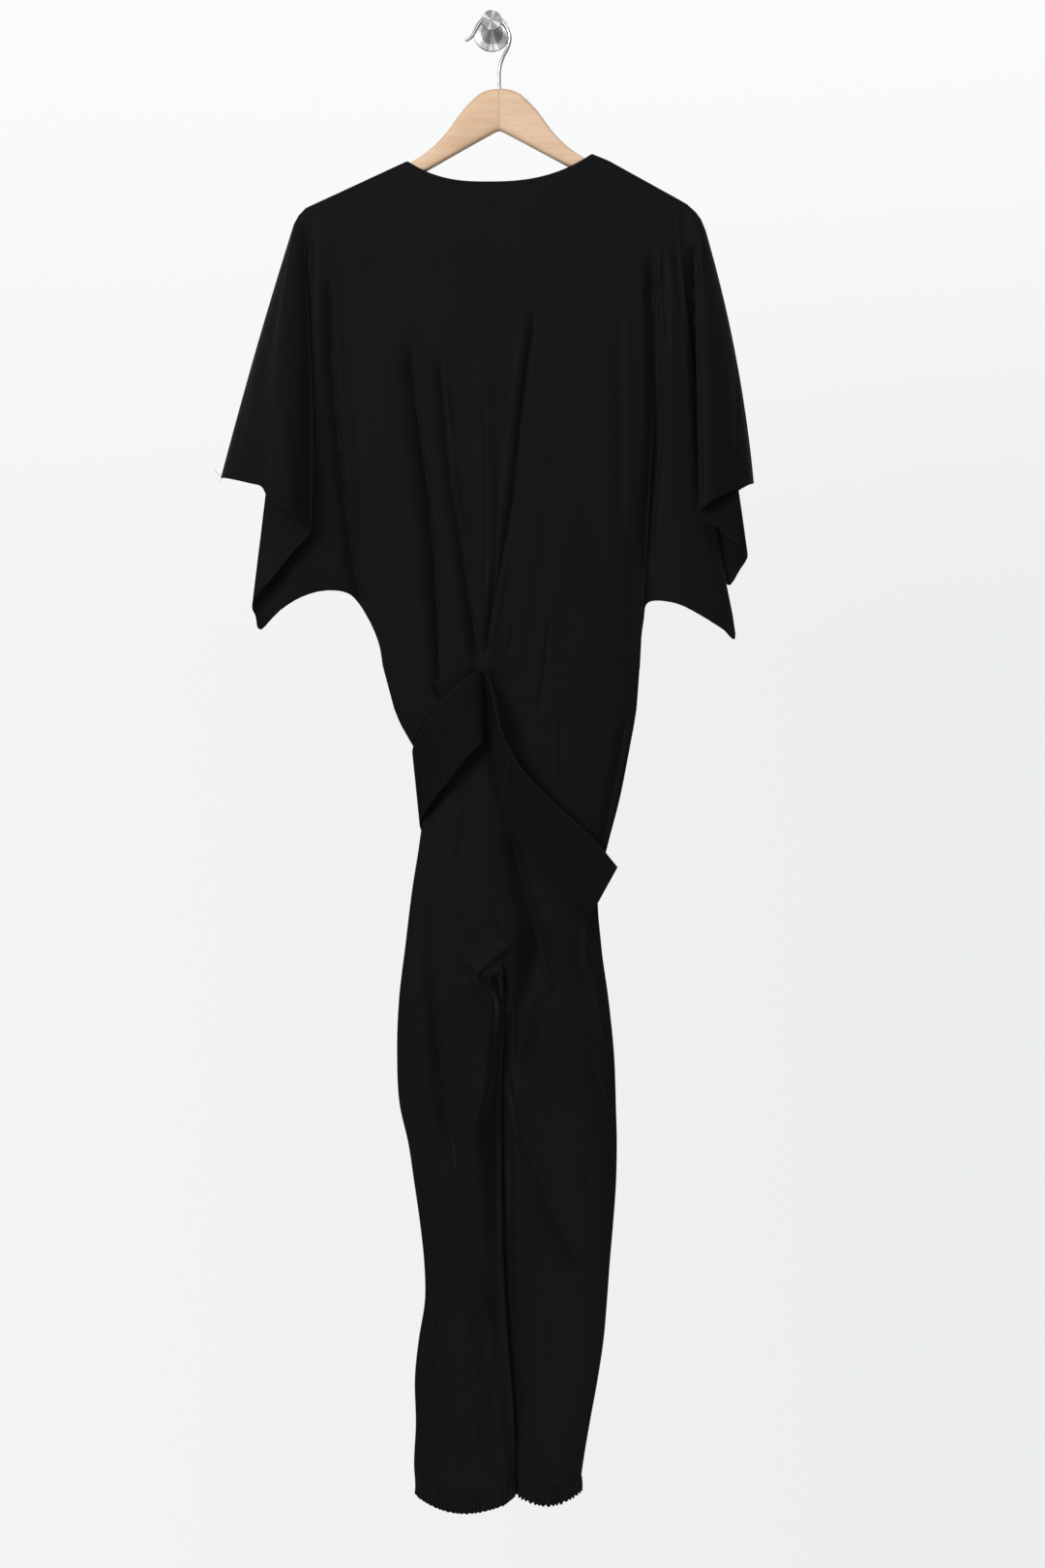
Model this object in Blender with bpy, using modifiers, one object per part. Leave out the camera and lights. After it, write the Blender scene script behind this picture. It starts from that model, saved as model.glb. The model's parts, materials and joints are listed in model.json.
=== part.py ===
"""A black jersey jumpsuit with batwing sleeves, hung by a wooden hanger from a round wall knob.

The garment hangs with its back to the room. X runs to the right, Y towards the wall and Z up.
The origin is the centre of the knob's flange, on the wall. Tables are in millimetres: x is
across, drop is how far a point lies below the origin, and out is how far the middle of the
cloth's wall lies from the garment's middle plane, towards the room on the back pieces and
towards the wall on the front pieces.
"""

import math
from collections import namedtuple

import bmesh
import bpy
import numpy as np

MM = 0.001

# Driving dimensions
CLOTH = 1.4
SEAM_GAP = 0.3
MIDDLE_Y = -34.0
SEAM_OUT = (CLOTH + SEAM_GAP) / 2
RAIL_OUT = 7.65
RAIL_REACH = 5.4
OVER_WOOD = 4.0

SHOULDER_LEFT = (-93.0, 152.0)
SHOULDER_RIGHT = (111.0, 144.0)
TIP_LEFT = (-216.0, 221.0)
TIP_RIGHT = (234.0, 227.0)
NECK_LOW = (-5.0, 175.5)
NECK_ROUND = 2.6
FRONT_NECK_DROP = 262.0

WAIST_LEFT, WAIST_RIGHT = -118.0, 162.0
WAIST_DROP, WAIST_SAG = 700.0, 7.0
WAISTBAND_HEIGHT = 41.5
WAIST_DEPTH = 13.0
CHEST_OUT = 14.0
NECK_OUT = 7.65
# The drop of the shoulder line at a few places, outermost first on the left
SHOULDER_RUN_LEFT = ((-216, 221), (-211, 211.5), (-203, 203), SHOULDER_LEFT)
SHOULDER_RUN_RIGHT = (
    SHOULDER_RIGHT, (128, 151), (203, 192.5), (214, 199), (223, 207), (229, 215), (234, 227),
)
SLEEVE_TOP_SPREAD = 1.15
SIDE_POWER = 5
FOLD_FADE, FOLDS_START = 0.22, 0.2

BELT_THICK = 2.0
BELT_ROWS = 4
CASING_HEIGHT = 16.0
CASING_GAP = 0.6
CASING_ROUND, CASING_END_DEPTH = 10.0, 7.0
CASING_POINTS = 60
CASING_MIDDLE_REACH, CASING_TURN = 40.0, 4.0
GATHER_DEPTH, GATHER_TOP_SHARE = 1.0, 0.7

HANGER_APEX = (8.6, 71.3)
HANGER_THICK = 13.0
HANGER_HALF_SPAN = 209.0
HANGER_TILT = 0.0155
ARM_UNDERSIDE_START, ARM_UNDERSIDE_SLOPE = 46.0, 0.544
ARM_TIP_REACH, ARM_TIP_THICK, ARM_TIP_HEIGHT = 14.0, 0.55, 0.62
ARM_CORNER = 0.42
WIRE_RADIUS = 1.85
WIRE_DEPTH_IN_WOOD = 13.0
WIRE_HOLE_GAP = 0.35

FLANGE_RADIUS, FLANGE_THICK = 20.3, 2.6
STEM_RADIUS, KNOB_LENGTH, DISC_RADIUS = 4.4, 45.0, 11.2
DISC_EDGE, DISC_THICK, COLLAR_LENGTH = 0.8, 3.0, 5.4
STEM_END, TRUMPET_WIDTH, TRUMPET_CURVE, TRUMPET_STEPS = 16.0, 0.62, 2.4, 6
FLANGE_EDGE = 0.6

# Rows of the bodice's grid as shares of the way from the shoulder to the hem or the waist
ROWS_BACK = (0, 0.006, 0.018, 0.04, 0.09, 0.16, 0.25, 0.35, 0.45, 0.55, 0.65, 0.75, 0.84, 0.92, 1)
ROWS_FRONT = (0, 0.006, 0.018, 0.045, 0.12, 0.24, 0.38, 0.52, 0.66, 0.8, 0.91, 1)
NECK_BLEND = 14.0
LEG_ROW_DROPS = (
    742, 764, 784, 800, 826, 860, 895, 930, 962, 985, 1002, 1018, 1034, 1052, 1078, 1110,
    1145, 1185, 1225, 1270, 1320, 1370, 1425, 1480, 1540, 1594,
)
LEG_COLUMNS_BACK, LEG_COLUMNS_FRONT = 13, 10

# A column of a sleeve runs from the shoulder to a point of the hem, the underarm seam or the
# side seam. The hem of each sleeve doubles back on itself, so x returns between the two folds.
Column = namedtuple("Column", "x_end drop_end bow out_middle out_end")
LEFT_SLEEVE = (
    Column(-296, 498, -2, SEAM_OUT, SEAM_OUT),  # overarm seam
    Column(-292, 499, -1, 6, 7),
    Column(-279, 503, 0, 20, 24),
    Column(-260, 509, 0, 34, 41),
    Column(-246, 514, -2, 41, 50),
    Column(-238, 527, -4, 46, 56),  # front ridge
    Column(-222, 537, -2, 43, 52),
    Column(-209, 550, 4, 40, 48),
    Column(-200, 557, 8, 38, 45),
    Column(-197, 561, 9, 34, 41),  # inner fold
    Column(-200, 566, 8, 30, 37),
    Column(-219, 586, 1, 28, 34),
    Column(-238, 610, -3, 26, 32),
    Column(-256, 629, -3, 23, 29),
    Column(-260, 641, 0, 19.5, 24),  # outer fold
    Column(-257, 650, 1, 16, 17),
    Column(-253, 664, 2, 14, SEAM_OUT),  # tip of the underarm seam
    Column(-232, 643, 3, 13, SEAM_OUT),
    Column(-208, 628, 4, 15, SEAM_OUT),
    Column(-181, 621, 5, 12, SEAM_OUT),
    Column(-154, 626, 5, 15, SEAM_OUT),  # underarm
    Column(-135, 652, 3, 13, SEAM_OUT),
    Column(-123, 680, 1, 13, SEAM_OUT),
    Column(WAIST_LEFT, WAIST_DROP + WAIST_SAG, 0, 13, SEAM_OUT),
)
RIGHT_SLEEVE = (
    Column(287, 504, 7, SEAM_OUT, SEAM_OUT),  # overarm seam
    Column(283, 505, 6, 6, 7),
    Column(272, 511, 4, 20, 24),
    Column(258, 518, 2, 33, 40),
    Column(243, 525, 1, 40, 49),
    Column(230, 534, -3, 40, 48),
    Column(225.5, 539, -6, 36, 43.5),  # inner fold
    Column(229, 545, -4, 32, 38.5),
    Column(241, 553, 0, 30, 35.5),
    Column(257, 565, 3, 28, 33),
    Column(273, 578, 3, 25.5, 30),
    Column(278, 586, 3, 21, 25),  # outer fold
    Column(273, 597, 0, 17, 19),
    Column(257, 617, -4, 14, 11),
    Column(267, 669, -9, 13, SEAM_OUT),  # tip of the underarm seam
    Column(250, 661, -5, 14, SEAM_OUT),
    Column(229, 648, -4, 12, SEAM_OUT),
    Column(202, 635, -3, 15, SEAM_OUT),
    Column(172, 634, -2, 12, SEAM_OUT),  # underarm
    Column(166, 657, -1, 12, SEAM_OUT),
    Column(163, 682, 0, 13, SEAM_OUT),
    Column(WAIST_RIGHT, WAIST_DROP + WAIST_SAG, 0, 13, SEAM_OUT),
)
# The front of each sleeve hangs more simply, between the same seams.
LEFT_SLEEVE_FRONT = (
    Column(-296, 498, -2, SEAM_OUT, SEAM_OUT),  # overarm seam
    Column(-291, 499, -1, 6, 7),
    Column(-274, 504, 0, 13, 15),
    Column(-255, 511, 0, 18, 22),
    Column(-243, 522, -1, 16, 18),
    Column(-235, 560, 5, 17, 20),
    Column(-242, 618, 13, 15, 16),
    Column(-249, 646, 16, 12, 9),
    Column(-253, 664, 16, 12, SEAM_OUT),  # tip of the underarm seam
    Column(-232, 643, 12, 13, SEAM_OUT),
    Column(-208, 628, 9, 14, SEAM_OUT),
    Column(-181, 621, 8, 12, SEAM_OUT),
    Column(-154, 626, 6, 14, SEAM_OUT),  # underarm
    Column(-135, 652, 3, 13, SEAM_OUT),
    Column(-123, 680, 1, 13, SEAM_OUT),
    Column(WAIST_LEFT, WAIST_DROP + WAIST_SAG, 0, 13, SEAM_OUT),
)
RIGHT_SLEEVE_FRONT = (
    Column(287, 504, 7, SEAM_OUT, SEAM_OUT),  # overarm seam
    Column(281, 505, 6, 6, 7),
    Column(268, 512, 4, 14, 17),
    Column(252, 521, 2, 18, 22),
    Column(239, 538, -2, 16, 18),
    Column(236, 578, -10, 17, 20),
    Column(246, 622, -21, 14, 16),
    Column(267, 669, -31, 12, SEAM_OUT),  # tip of the underarm seam
    Column(250, 661, -24, 14, SEAM_OUT),
    Column(229, 648, -17, 12, SEAM_OUT),
    Column(202, 635, -9, 14, SEAM_OUT),
    Column(172, 634, -3, 12, SEAM_OUT),  # underarm
    Column(166, 657, -1, 12, SEAM_OUT),
    Column(163, 682, 0, 13, SEAM_OUT),
    Column(WAIST_RIGHT, WAIST_DROP + WAIST_SAG, 0, 13, SEAM_OUT),
)
SLEEVE_TOP_LEFT, SLEEVE_TOP_RIGHT = -166.0, 186.0

# Between the sleeves, columns run from the shoulders and the neck to the waist seam. On the
# back they draw together where the belt is sewn on, as its gathers do.
Line = namedtuple("Line", "x_top x_waist")
LINES_BACK = (
    Line(-160, -112), Line(-152, -102), Line(-143, -88), Line(-130, -74), Line(-117, -63),
    Line(-105, -54), Line(-93, -42), Line(-92, -40.5), Line(-90, -38), Line(-85, -33),
    Line(-75, -26), Line(-60, -20), Line(-43, -15.5), Line(-25, -12), Line(-5, -8.5),
    Line(15, -6), Line(34, -4), Line(50, -1), Line(64, 4), Line(78, 11), Line(91, 20),
    Line(103, 28), Line(108, 32), Line(110, 34), Line(111, 36), Line(122, 43), Line(135, 51),
    Line(147, 63), Line(158, 82), Line(168, 106), Line(176, 130), Line(182, 150),
)
LINES_FRONT = (
    Line(-160, -112), Line(-146, -101), Line(-120, -83), Line(-93, -64), Line(-92, -62),
    Line(-90, -58), Line(-85, -52), Line(-75, -43), Line(-50, -25), Line(-22, -5), Line(8, 17),
    Line(38, 40), Line(66, 62), Line(93, 84), Line(103, 93), Line(108, 100), Line(110, 105),
    Line(111, 109), Line(136, 129), Line(161, 146), Line(176, 156),
)

# A fold is a soft ridge, or a trough where rise is negative, along a curve through three
# points. Its two sides can have different widths.
Fold = namedtuple("Fold", "x0 drop0 x1 drop1 x2 drop2 rise left right")
BODICE_FOLDS = (
    Fold(-124, 330, -99, 510, -76, 690, 3.0, 24, 22),
    Fold(-99, 320, -77, 530, -57, 745, 4.5, 22, 14),
    Fold(-62, 320, -41, 530, -23, 745, 3.4, 16, 16),
    Fold(-6, 330, -7, 520, -8, 740, 2.4, 14, 14),
    Fold(47, 290, 21, 510, -6, 735, 5.0, 16, 20),
    Fold(66, 400, 44, 560, 19, 745, 2.4, 16, 16),
    Fold(99, 450, 76, 590, 48, 745, 2.0, 16, 20),
    Fold(141, 250, 142, 450, 140, 650, 3.0, 30, 20),
)
SEAT_FOLDS = (
    Fold(-67, 800, -73, 960, -56, 1110, -6.0, 24, 28),
    Fold(-56, 1060, -56, 1210, -62, 1300, -8.0, 24, 26),
    Fold(20, 850, 38, 950, 62, 1050, -5.0, 20, 24),
    Fold(60, 990, 44, 1080, 20, 1175, -6.0, 26, 24),
    Fold(146, 735, 134, 815, 112, 920, 4.0, 22, 16),
    Fold(18, 1085, -6, 1160, -40, 1300, 5.0, 20, 22),
    Fold(10, 1140, 28, 1205, 66, 1300, 5.0, 22, 18),
    Fold(110, 960, 103, 1060, 136, 1240, -5.0, 24, 20),
    Fold(-62, 1320, -28, 1384, -10, 1500, 4.0, 20, 20),
    Fold(34, 1260, 76, 1330, 104, 1400, 4.0, 22, 20),
    Fold(60, 1380, 50, 1480, 56, 1640, 3.0, 18, 18),
)
FRONT_FOLDS = (
    Fold(-80, 330, -60, 520, -40, 745, 2.5, 24, 20),
    Fold(70, 330, 60, 520, 40, 745, 2.5, 20, 24),
    Fold(-60, 800, -66, 980, -52, 1250, -4.0, 22, 24),
    Fold(70, 820, 66, 1000, 84, 1260, -4.0, 24, 22),
    Fold(10, 1060, -16, 1160, -44, 1330, 4.0, 18, 20),
    Fold(22, 1120, 48, 1220, 76, 1380, 4.0, 18, 18),
    Fold(-40, 1340, -52, 1460, -44, 1620, -3.0, 16, 16),
    Fold(80, 1400, 62, 1500, 58, 1620, -3.0, 16, 16),
)

# Outlines of the trousers, from the waistband down
Level = namedtuple("Level", "drop outer_left outer_right depth_back depth_front rounding")
LEVELS = (
    Level(749, -107, 159, 13.0, 13.0, 140),
    Level(768, -99, 156, 13.5, 13.3, 138),
    Level(784, -90, 153, 14.0, 13.5, 135),
    Level(800, -81, 150, 15.0, 14.0, 130),
    Level(850, -74, 140, 16.5, 14.5, 120),
    Level(900, -79, 127, 18.0, 15.0, 110),
    Level(945, -86, 117, 19.0, 15.5, 105),
    Level(1010, -94, 120, 20.0, 16.0, 100),
    Level(1070, -101, 128, 21.0, 16.5, 95),
    Level(1130, -103, 134, 22.0, 17.0, 90),
    Level(1185, -100, 136, 22.5, 17.0, 90),
    Level(1225, -91, 137, 23.0, 17.0, 90),
    Level(1270, -84, 136, 23.0, 17.0, 90),
    Level(1310, -78, 133, 22.5, 17.0, 90),
    Level(1355, -73, 129, 22.0, 17.0, 90),
    Level(1395, -72, 126, 22.0, 17.0, 90),
    Level(1440, -79, 122, 22.0, 16.5, 85),
    Level(1480, -83, 116, 21.0, 16.0, 80),
    Level(1530, -82, 107, 19.5, 15.5, 75),
    Level(1580, -84, 99, 18.0, 15.0, 65),
    Level(1625, -79, 94, 17.0, 15.0, 55),
)
Seam = namedtuple("Seam", "drop left_leg right_leg")
INNER_SEAMS = (
    Seam(742, -2, -2),
    Seam(870, 0, 0),
    Seam(960, 3, 3),
    Seam(1018, 6, 6),
    Seam(1034, 7, 7),
    Seam(1052, 10, 8),
    Seam(1100, 14, 10),
    Seam(1160, 14, 9),
    Seam(1280, 12, 9),
    Seam(1370, 15, 12),
    Seam(1450, 16, 13),
    Seam(1530, 20, 17),
    Seam(1594, 20, 24),
    Seam(1625, 20, 26),
)
CROTCH_DROP = 1018.0
CROTCH_ROLL = 50.0
FRONT_SEAM_SHIFT = 6.0
LEG_STAGGER = 6.0
STAGGER_REACH = 24.0
HEM_OPENS = (1480.0, 1590.0)
INNER_FLAT, INNER_ROLL_TOP, INNER_ROLL_LOW = 3.5, 7.0, 14.0
INNER_ROLL_REACH, STAGGER_WIDTH = 140.0, 45.0
EDGE_CROWDING, TOP_SLANT, HEM_SLANT = 0.18, 0.3, 0.4

# Gathers are counted on one side of an ankle, from seam to seam.
Ankle = namedtuple("Ankle", "hem_drop sag gathers")
LEFT_ANKLE = Ankle(1594, 16, 26)
RIGHT_ANKLE = Ankle(1590, 11, 19)

# Belt stations: the two edges of the webbing, upper edge first
Station = namedtuple("Station", "x_up drop_up out_up x_low drop_low out_low")
BELT_LEFT = (
    Station(-2.0, 711, 17.8, -2.0, 777, 19.6),
    Station(-20, 718, 24.0, -12, 786, 27.0),
    Station(-40, 731, 25.5, -26, 803, 30.0),
    Station(-56, 749, 22.5, -41, 823, 27.0),
    Station(-71, 768, 16.5, -56, 842, 20.5),
    Station(-82, 786, 9.5, -71, 862, 12.5),
    Station(-86, 799, -1, -78, 876, 0),
    Station(-81, 813, -12, -73, 890, -12),
    Station(-66, 832, -19.5, -58, 908, -19),
    Station(-38, 862, -22.5, -34, 936, -22.5),
    Station(-6, 896, -23.5, -4, 968, -23.5),
)
BELT_RIGHT = (
    Station(0, 712, 17.8, 0, 772, 19.0),
    Station(1, 722, 24.4, 0, 782, 21.0),
    Station(3, 740, 36, -1, 798, 23),
    Station(7, 760, 45, 0, 818, 25),
    Station(15, 784, 48, 7, 842, 26.5),
    Station(35, 818, 46, 20, 872, 27.5),
    Station(67, 852, 40, 39, 903, 28),
    Station(108, 889, 34, 71, 938, 28),
    Station(137, 923, 29, 108, 976, 26),
)

Arm = namedtuple("Arm", "across top")
ARM_TOP = (
    Arm(0, 0),
    Arm(11, 1.2),
    Arm(21, 5),
    Arm(32, 14.5),
    Arm(44, 28),
    Arm(55, 44),
    Arm(66, 57),
    Arm(80, 69.5),
    Arm(96, 79.5),
    Arm(122, 92),
    Arm(150, 105),
    Arm(178, 120),
    Arm(194, 130.5),
    Arm(204, 141),
    Arm(HANGER_HALF_SPAN, 150.5),
)
# The wire's own line, from the wood up, round the knob's stem and out to its tip
WIRE_LINE = (
    (8.4, 60),
    (9.4, 47),
    (13.2, 36),
    (18.4, 25.5),
    (20.2, 14.7),
    (17.6, 7),
    (12.6, 0.6),
    (7, -4.7),
    (0.3, -6.7),
    (-7, -4.6),
    (-13.6, 1.2),
    (-18, 8.5),
    (-21.4, 14.4),
    (-28.5, 18.9),
)

INK = (0.0085, 0.0085, 0.0095)
BELT_BLACK = (0.0065, 0.006, 0.0058)
BEECH = (0.68, 0.46, 0.26)
STEEL = (0.62, 0.61, 0.6)


# ---------------------------------------------------------------- small mathematics


def column_of(table, name):
    return np.array([getattr(row, name) for row in table], float)


def through(at, knots, values):
    """A smooth curve through a table's rows, level beyond its ends."""
    knots = np.asarray(knots, float)
    values = np.asarray(values, float)
    slopes = np.gradient(values, knots)
    at = np.clip(np.asarray(at, float), knots[0], knots[-1])
    left = np.clip(np.searchsorted(knots, at, side="right") - 1, 0, len(knots) - 2)
    span = knots[left + 1] - knots[left]
    s = (at - knots[left]) / span
    rise = values[left + 1] - values[left]
    start, end = slopes[left] * span, slopes[left + 1] * span
    return values[left] + s * (start + s * (3 * rise - 2 * start - end + s * (start + end - 2 * rise)))


def ease(share):
    """0 below 0, 1 above 1 and a soft S between."""
    share = np.clip(share, 0, 1)
    return share * share * (3 - 2 * share)


def quarter_round(distance, reach):
    """The rise of a quarter circle of this reach, from 0 at its edge to 1."""
    share = np.clip(distance / reach, 0, 1)
    return np.sqrt(1 - (1 - share) ** 2)


def nearest_on(x, drop, line_x, line_drop):
    """Distance from points to a broken line, the side they lie on and how far along it."""
    nearest = np.full(np.broadcast(x, drop).shape, np.inf)
    side, along = np.zeros(nearest.shape), np.zeros(nearest.shape)
    for i in range(len(line_x) - 1):
        run, fall = line_x[i + 1] - line_x[i], line_drop[i + 1] - line_drop[i]
        part = ((x - line_x[i]) * run + (drop - line_drop[i]) * fall) / (run * run + fall * fall)
        part = np.clip(part, 0, 1)
        away_x, away_drop = x - line_x[i] - part * run, drop - line_drop[i] - part * fall
        distance = np.hypot(away_x, away_drop)
        closer = distance < nearest
        nearest = np.where(closer, distance, nearest)
        side = np.where(closer, away_x * fall - away_drop * run, side)
        along = np.where(closer, (i + part) / (len(line_x) - 1), along)
    return nearest, side, along


def quadratic(start, middle, end, t):
    """A parabola through three values at t = 0, 0.5 and 1."""
    return (1 - t) * (1 - 2 * t) * start + 4 * t * (1 - t) * middle + t * (2 * t - 1) * end


def relief(x, drop, folds):
    """How far all these folds lift the cloth at the points x, drop."""
    lift = np.zeros(np.broadcast(x, drop).shape)
    share = np.linspace(0, 1, 13)
    for fold in folds:
        line_x = quadratic(fold.x0, fold.x1, fold.x2, share)
        line_drop = quadratic(fold.drop0, fold.drop1, fold.drop2, share)
        distance, side, along = nearest_on(x, drop, line_x, line_drop)
        width = np.where(side < 0, fold.left, fold.right)
        profile = 0.5 + 0.5 * np.cos(math.pi * np.clip(distance / width, 0, 1))
        lift += fold.rise * profile * ease(along / FOLD_FADE) * ease((1 - along) / FOLD_FADE)
    return lift


# ---------------------------------------------------------------- objects and materials


def fresh_collection(name):
    collection = bpy.data.collections.new(name)
    bpy.context.scene.collection.children.link(collection)
    return collection


def material(name, colour, roughness, metallic=0.0):
    made = bpy.data.materials.new(name)
    made.use_nodes = True
    shader = made.node_tree.nodes["Principled BSDF"]
    shader.inputs["Base Color"].default_value = (*colour, 1)
    shader.inputs["Roughness"].default_value = roughness
    shader.inputs["Metallic"].default_value = metallic
    return made


def add_object(name, data, finish):
    made = bpy.data.objects.new(name, data)
    PARTS.objects.link(made)
    data.materials.append(finish)
    return made


def cloth_grid(name, points, finish, thickness=CLOTH, closed=False):
    """A sheet through a grid of points in millimetres, given its wall by Solidify."""
    rows, columns = points.shape[:2]
    mesh = bpy.data.meshes.new(name)
    wrap = columns if closed else columns - 1
    faces = [
        (
            row * columns + at,
            row * columns + (at + 1) % columns,
            (row + 1) * columns + (at + 1) % columns,
            (row + 1) * columns + at,
        )
        for row in range(rows - 1)
        for at in range(wrap)
    ]
    mesh.from_pydata((points.reshape(-1, 3) * MM).tolist(), [], faces)
    mesh.shade_smooth()
    made = add_object(name, mesh, finish)
    wall = made.modifiers.new("wall", "SOLIDIFY")
    wall.thickness = thickness * MM
    wall.offset = 0
    return made


def placed(x, drop, out, side):
    """Grid points from x, drop and out. Side is 1 for the back pieces and -1 for the front."""
    x, drop, out = np.broadcast_arrays(x, drop, out)
    return np.stack([x, MIDDLE_Y - side * out, -drop], axis=-1)


# ---------------------------------------------------------------- bodice


def arm_top_drop(x):
    """Drop of the wood's upper edge."""
    across = x - HANGER_APEX[0]
    fall = through(np.abs(across), column_of(ARM_TOP, "across"), column_of(ARM_TOP, "top"))
    return HANGER_APEX[1] + fall - HANGER_TILT * across


def shoulder_drop(x):
    """Drop of the line where back and front meet along the hanger's arms."""
    left, right = (np.interp(x, *np.transpose(run)) for run in (SHOULDER_RUN_LEFT, SHOULDER_RUN_RIGHT))
    return np.where(np.asarray(x) < 0, left, right)


def neck_drop(x, low):
    """Drop of a neckline that is lowest near the middle and ends on both shoulders."""
    reach_left = NECK_LOW[0] - SHOULDER_LEFT[0]
    reach_right = SHOULDER_RIGHT[0] - NECK_LOW[0]
    share = np.where(x < NECK_LOW[0], (NECK_LOW[0] - x) / reach_left, (x - NECK_LOW[0]) / reach_right)
    end = np.where(x < NECK_LOW[0], SHOULDER_LEFT[1], SHOULDER_RIGHT[1])
    return low - (low - end) * np.clip(share, 0, 1) ** NECK_ROUND


def top_drop(x, neck_low):
    on_neck = (x > SHOULDER_LEFT[0]) & (x < SHOULDER_RIGHT[0])
    return np.where(on_neck, neck_drop(x, neck_low), shoulder_drop(x))


def rail_drop(x):
    """Where the cloth starts to fall away over the wood."""
    in_from_left, in_from_right = x - SHOULDER_LEFT[0], SHOULDER_RIGHT[0] - x
    corner = np.where(in_from_left < in_from_right, SHOULDER_LEFT[1], SHOULDER_RIGHT[1])
    inwards = ease(np.minimum(in_from_left, in_from_right) / NECK_BLEND)
    on_neck = (1 - inwards) * corner + inwards * (arm_top_drop(x) - OVER_WOOD)
    return np.where((in_from_left > 0) & (in_from_right > 0), on_neck, shoulder_drop(x))


def waist_drop(x):
    share = (x - (WAIST_LEFT + WAIST_RIGHT) / 2) / ((WAIST_RIGHT - WAIST_LEFT) / 2)
    return WAIST_DROP + WAIST_SAG * np.clip(np.abs(share), 0, 1) ** 6


def waist_out(x):
    half = (WAIST_RIGHT - WAIST_LEFT) / 2
    share = np.clip(np.abs(x - (WAIST_LEFT + WAIST_RIGHT) / 2) / half, 0, 1)
    return SEAM_OUT + WAIST_DEPTH * (1 - share**SIDE_POWER)


def sleeve_points(table, tip, inner_x, t):
    """Columns that fan from the shoulder to the hem and the underarm, outermost first."""
    reach = np.linspace(0, 1, len(table))
    top_x = tip[0] + (inner_x - tip[0]) * reach**SLEEVE_TOP_SPREAD
    top = shoulder_drop(top_x)
    x = (1 - t) * top_x + t * column_of(table, "x_end") + 4 * t * (1 - t) * column_of(table, "bow")
    drop = (1 - t) * top + t * column_of(table, "drop_end")
    out = quadratic(RAIL_OUT, column_of(table, "out_middle"), column_of(table, "out_end"), t)
    # The wall turns over along the shoulder seam and down the overarm seam.
    seam_x, seam_drop = np.concatenate([top_x[::-1], x[1:, 0]]), np.concatenate([top[::-1], drop[1:, 0]])
    from_seam = nearest_on(x, drop, seam_x, seam_drop)[0]
    return x, drop, SEAM_OUT + (out - SEAM_OUT) * quarter_round(from_seam, RAIL_REACH)


def bodice(name, side, neck_low, rows, sleeves, lines, folds):
    """Back or front of the bodice, cut in one with its sleeves."""
    t = np.array(rows)[:, None]
    left = sleeve_points(sleeves[0], TIP_LEFT, SLEEVE_TOP_LEFT, t)
    right = sleeve_points(sleeves[1], TIP_RIGHT, SLEEVE_TOP_RIGHT, t)

    top_x, end_x = column_of(lines, "x_top"), column_of(lines, "x_waist")
    x = (1 - t) * top_x + t * end_x
    drop = (1 - t) * top_drop(top_x, neck_low) + t * (waist_drop(end_x) - SEAM_GAP / 2)
    out = quadratic(NECK_OUT, CHEST_OUT, waist_out(end_x), t)
    out = out + relief(x, drop, folds) * ease(t / FOLDS_START)
    out = SEAM_OUT + (out - SEAM_OUT) * quarter_round(drop - rail_drop(x), RAIL_REACH)

    grids = [np.concatenate([a, b, c[:, ::-1]], axis=1) for a, b, c in zip(left, (x, drop, out), right)]
    return cloth_grid(name, placed(*grids, side), BLACK_JERSEY)


def waistband(name, side, lines, folds):
    rise = np.array([0.0, 0.5, 1.0])[:, None]
    top_x = np.concatenate([[WAIST_LEFT], column_of(lines, "x_waist"), [WAIST_RIGHT]])
    share = (top_x - WAIST_LEFT) / (WAIST_RIGHT - WAIST_LEFT)
    low_x = LEVELS[0].outer_left + (LEVELS[0].outer_right - LEVELS[0].outer_left) * share
    x = (1 - rise) * top_x + rise * low_x
    drop = waist_drop(top_x) + SEAM_GAP / 2 + rise * (WAISTBAND_HEIGHT - SEAM_GAP)
    middle = (x[:, :1] + x[:, -1:]) / 2
    sides = 1 - (np.abs(x - middle) / (middle - x[:, :1])) ** SIDE_POWER
    out = SEAM_OUT + (WAIST_DEPTH + relief(x, drop, folds)) * sides
    return cloth_grid(name, placed(x, drop, out, side), BLACK_JERSEY)


# ---------------------------------------------------------------- legs


def level(name, drop):
    return through(drop, column_of(LEVELS, "drop"), column_of(LEVELS, name))


def inner_x(drop, leg, side):
    seam = through(drop, column_of(INNER_SEAMS, "drop"), column_of(INNER_SEAMS, leg + "_leg"))
    # Above the crotch the front's middle seam lies a little to one side of the back's.
    above = 1 - ease((drop - CROTCH_DROP + CROTCH_ROLL) / CROTCH_ROLL)
    return seam + (FRONT_SEAM_SHIFT * above if side < 0 else 0)


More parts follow.
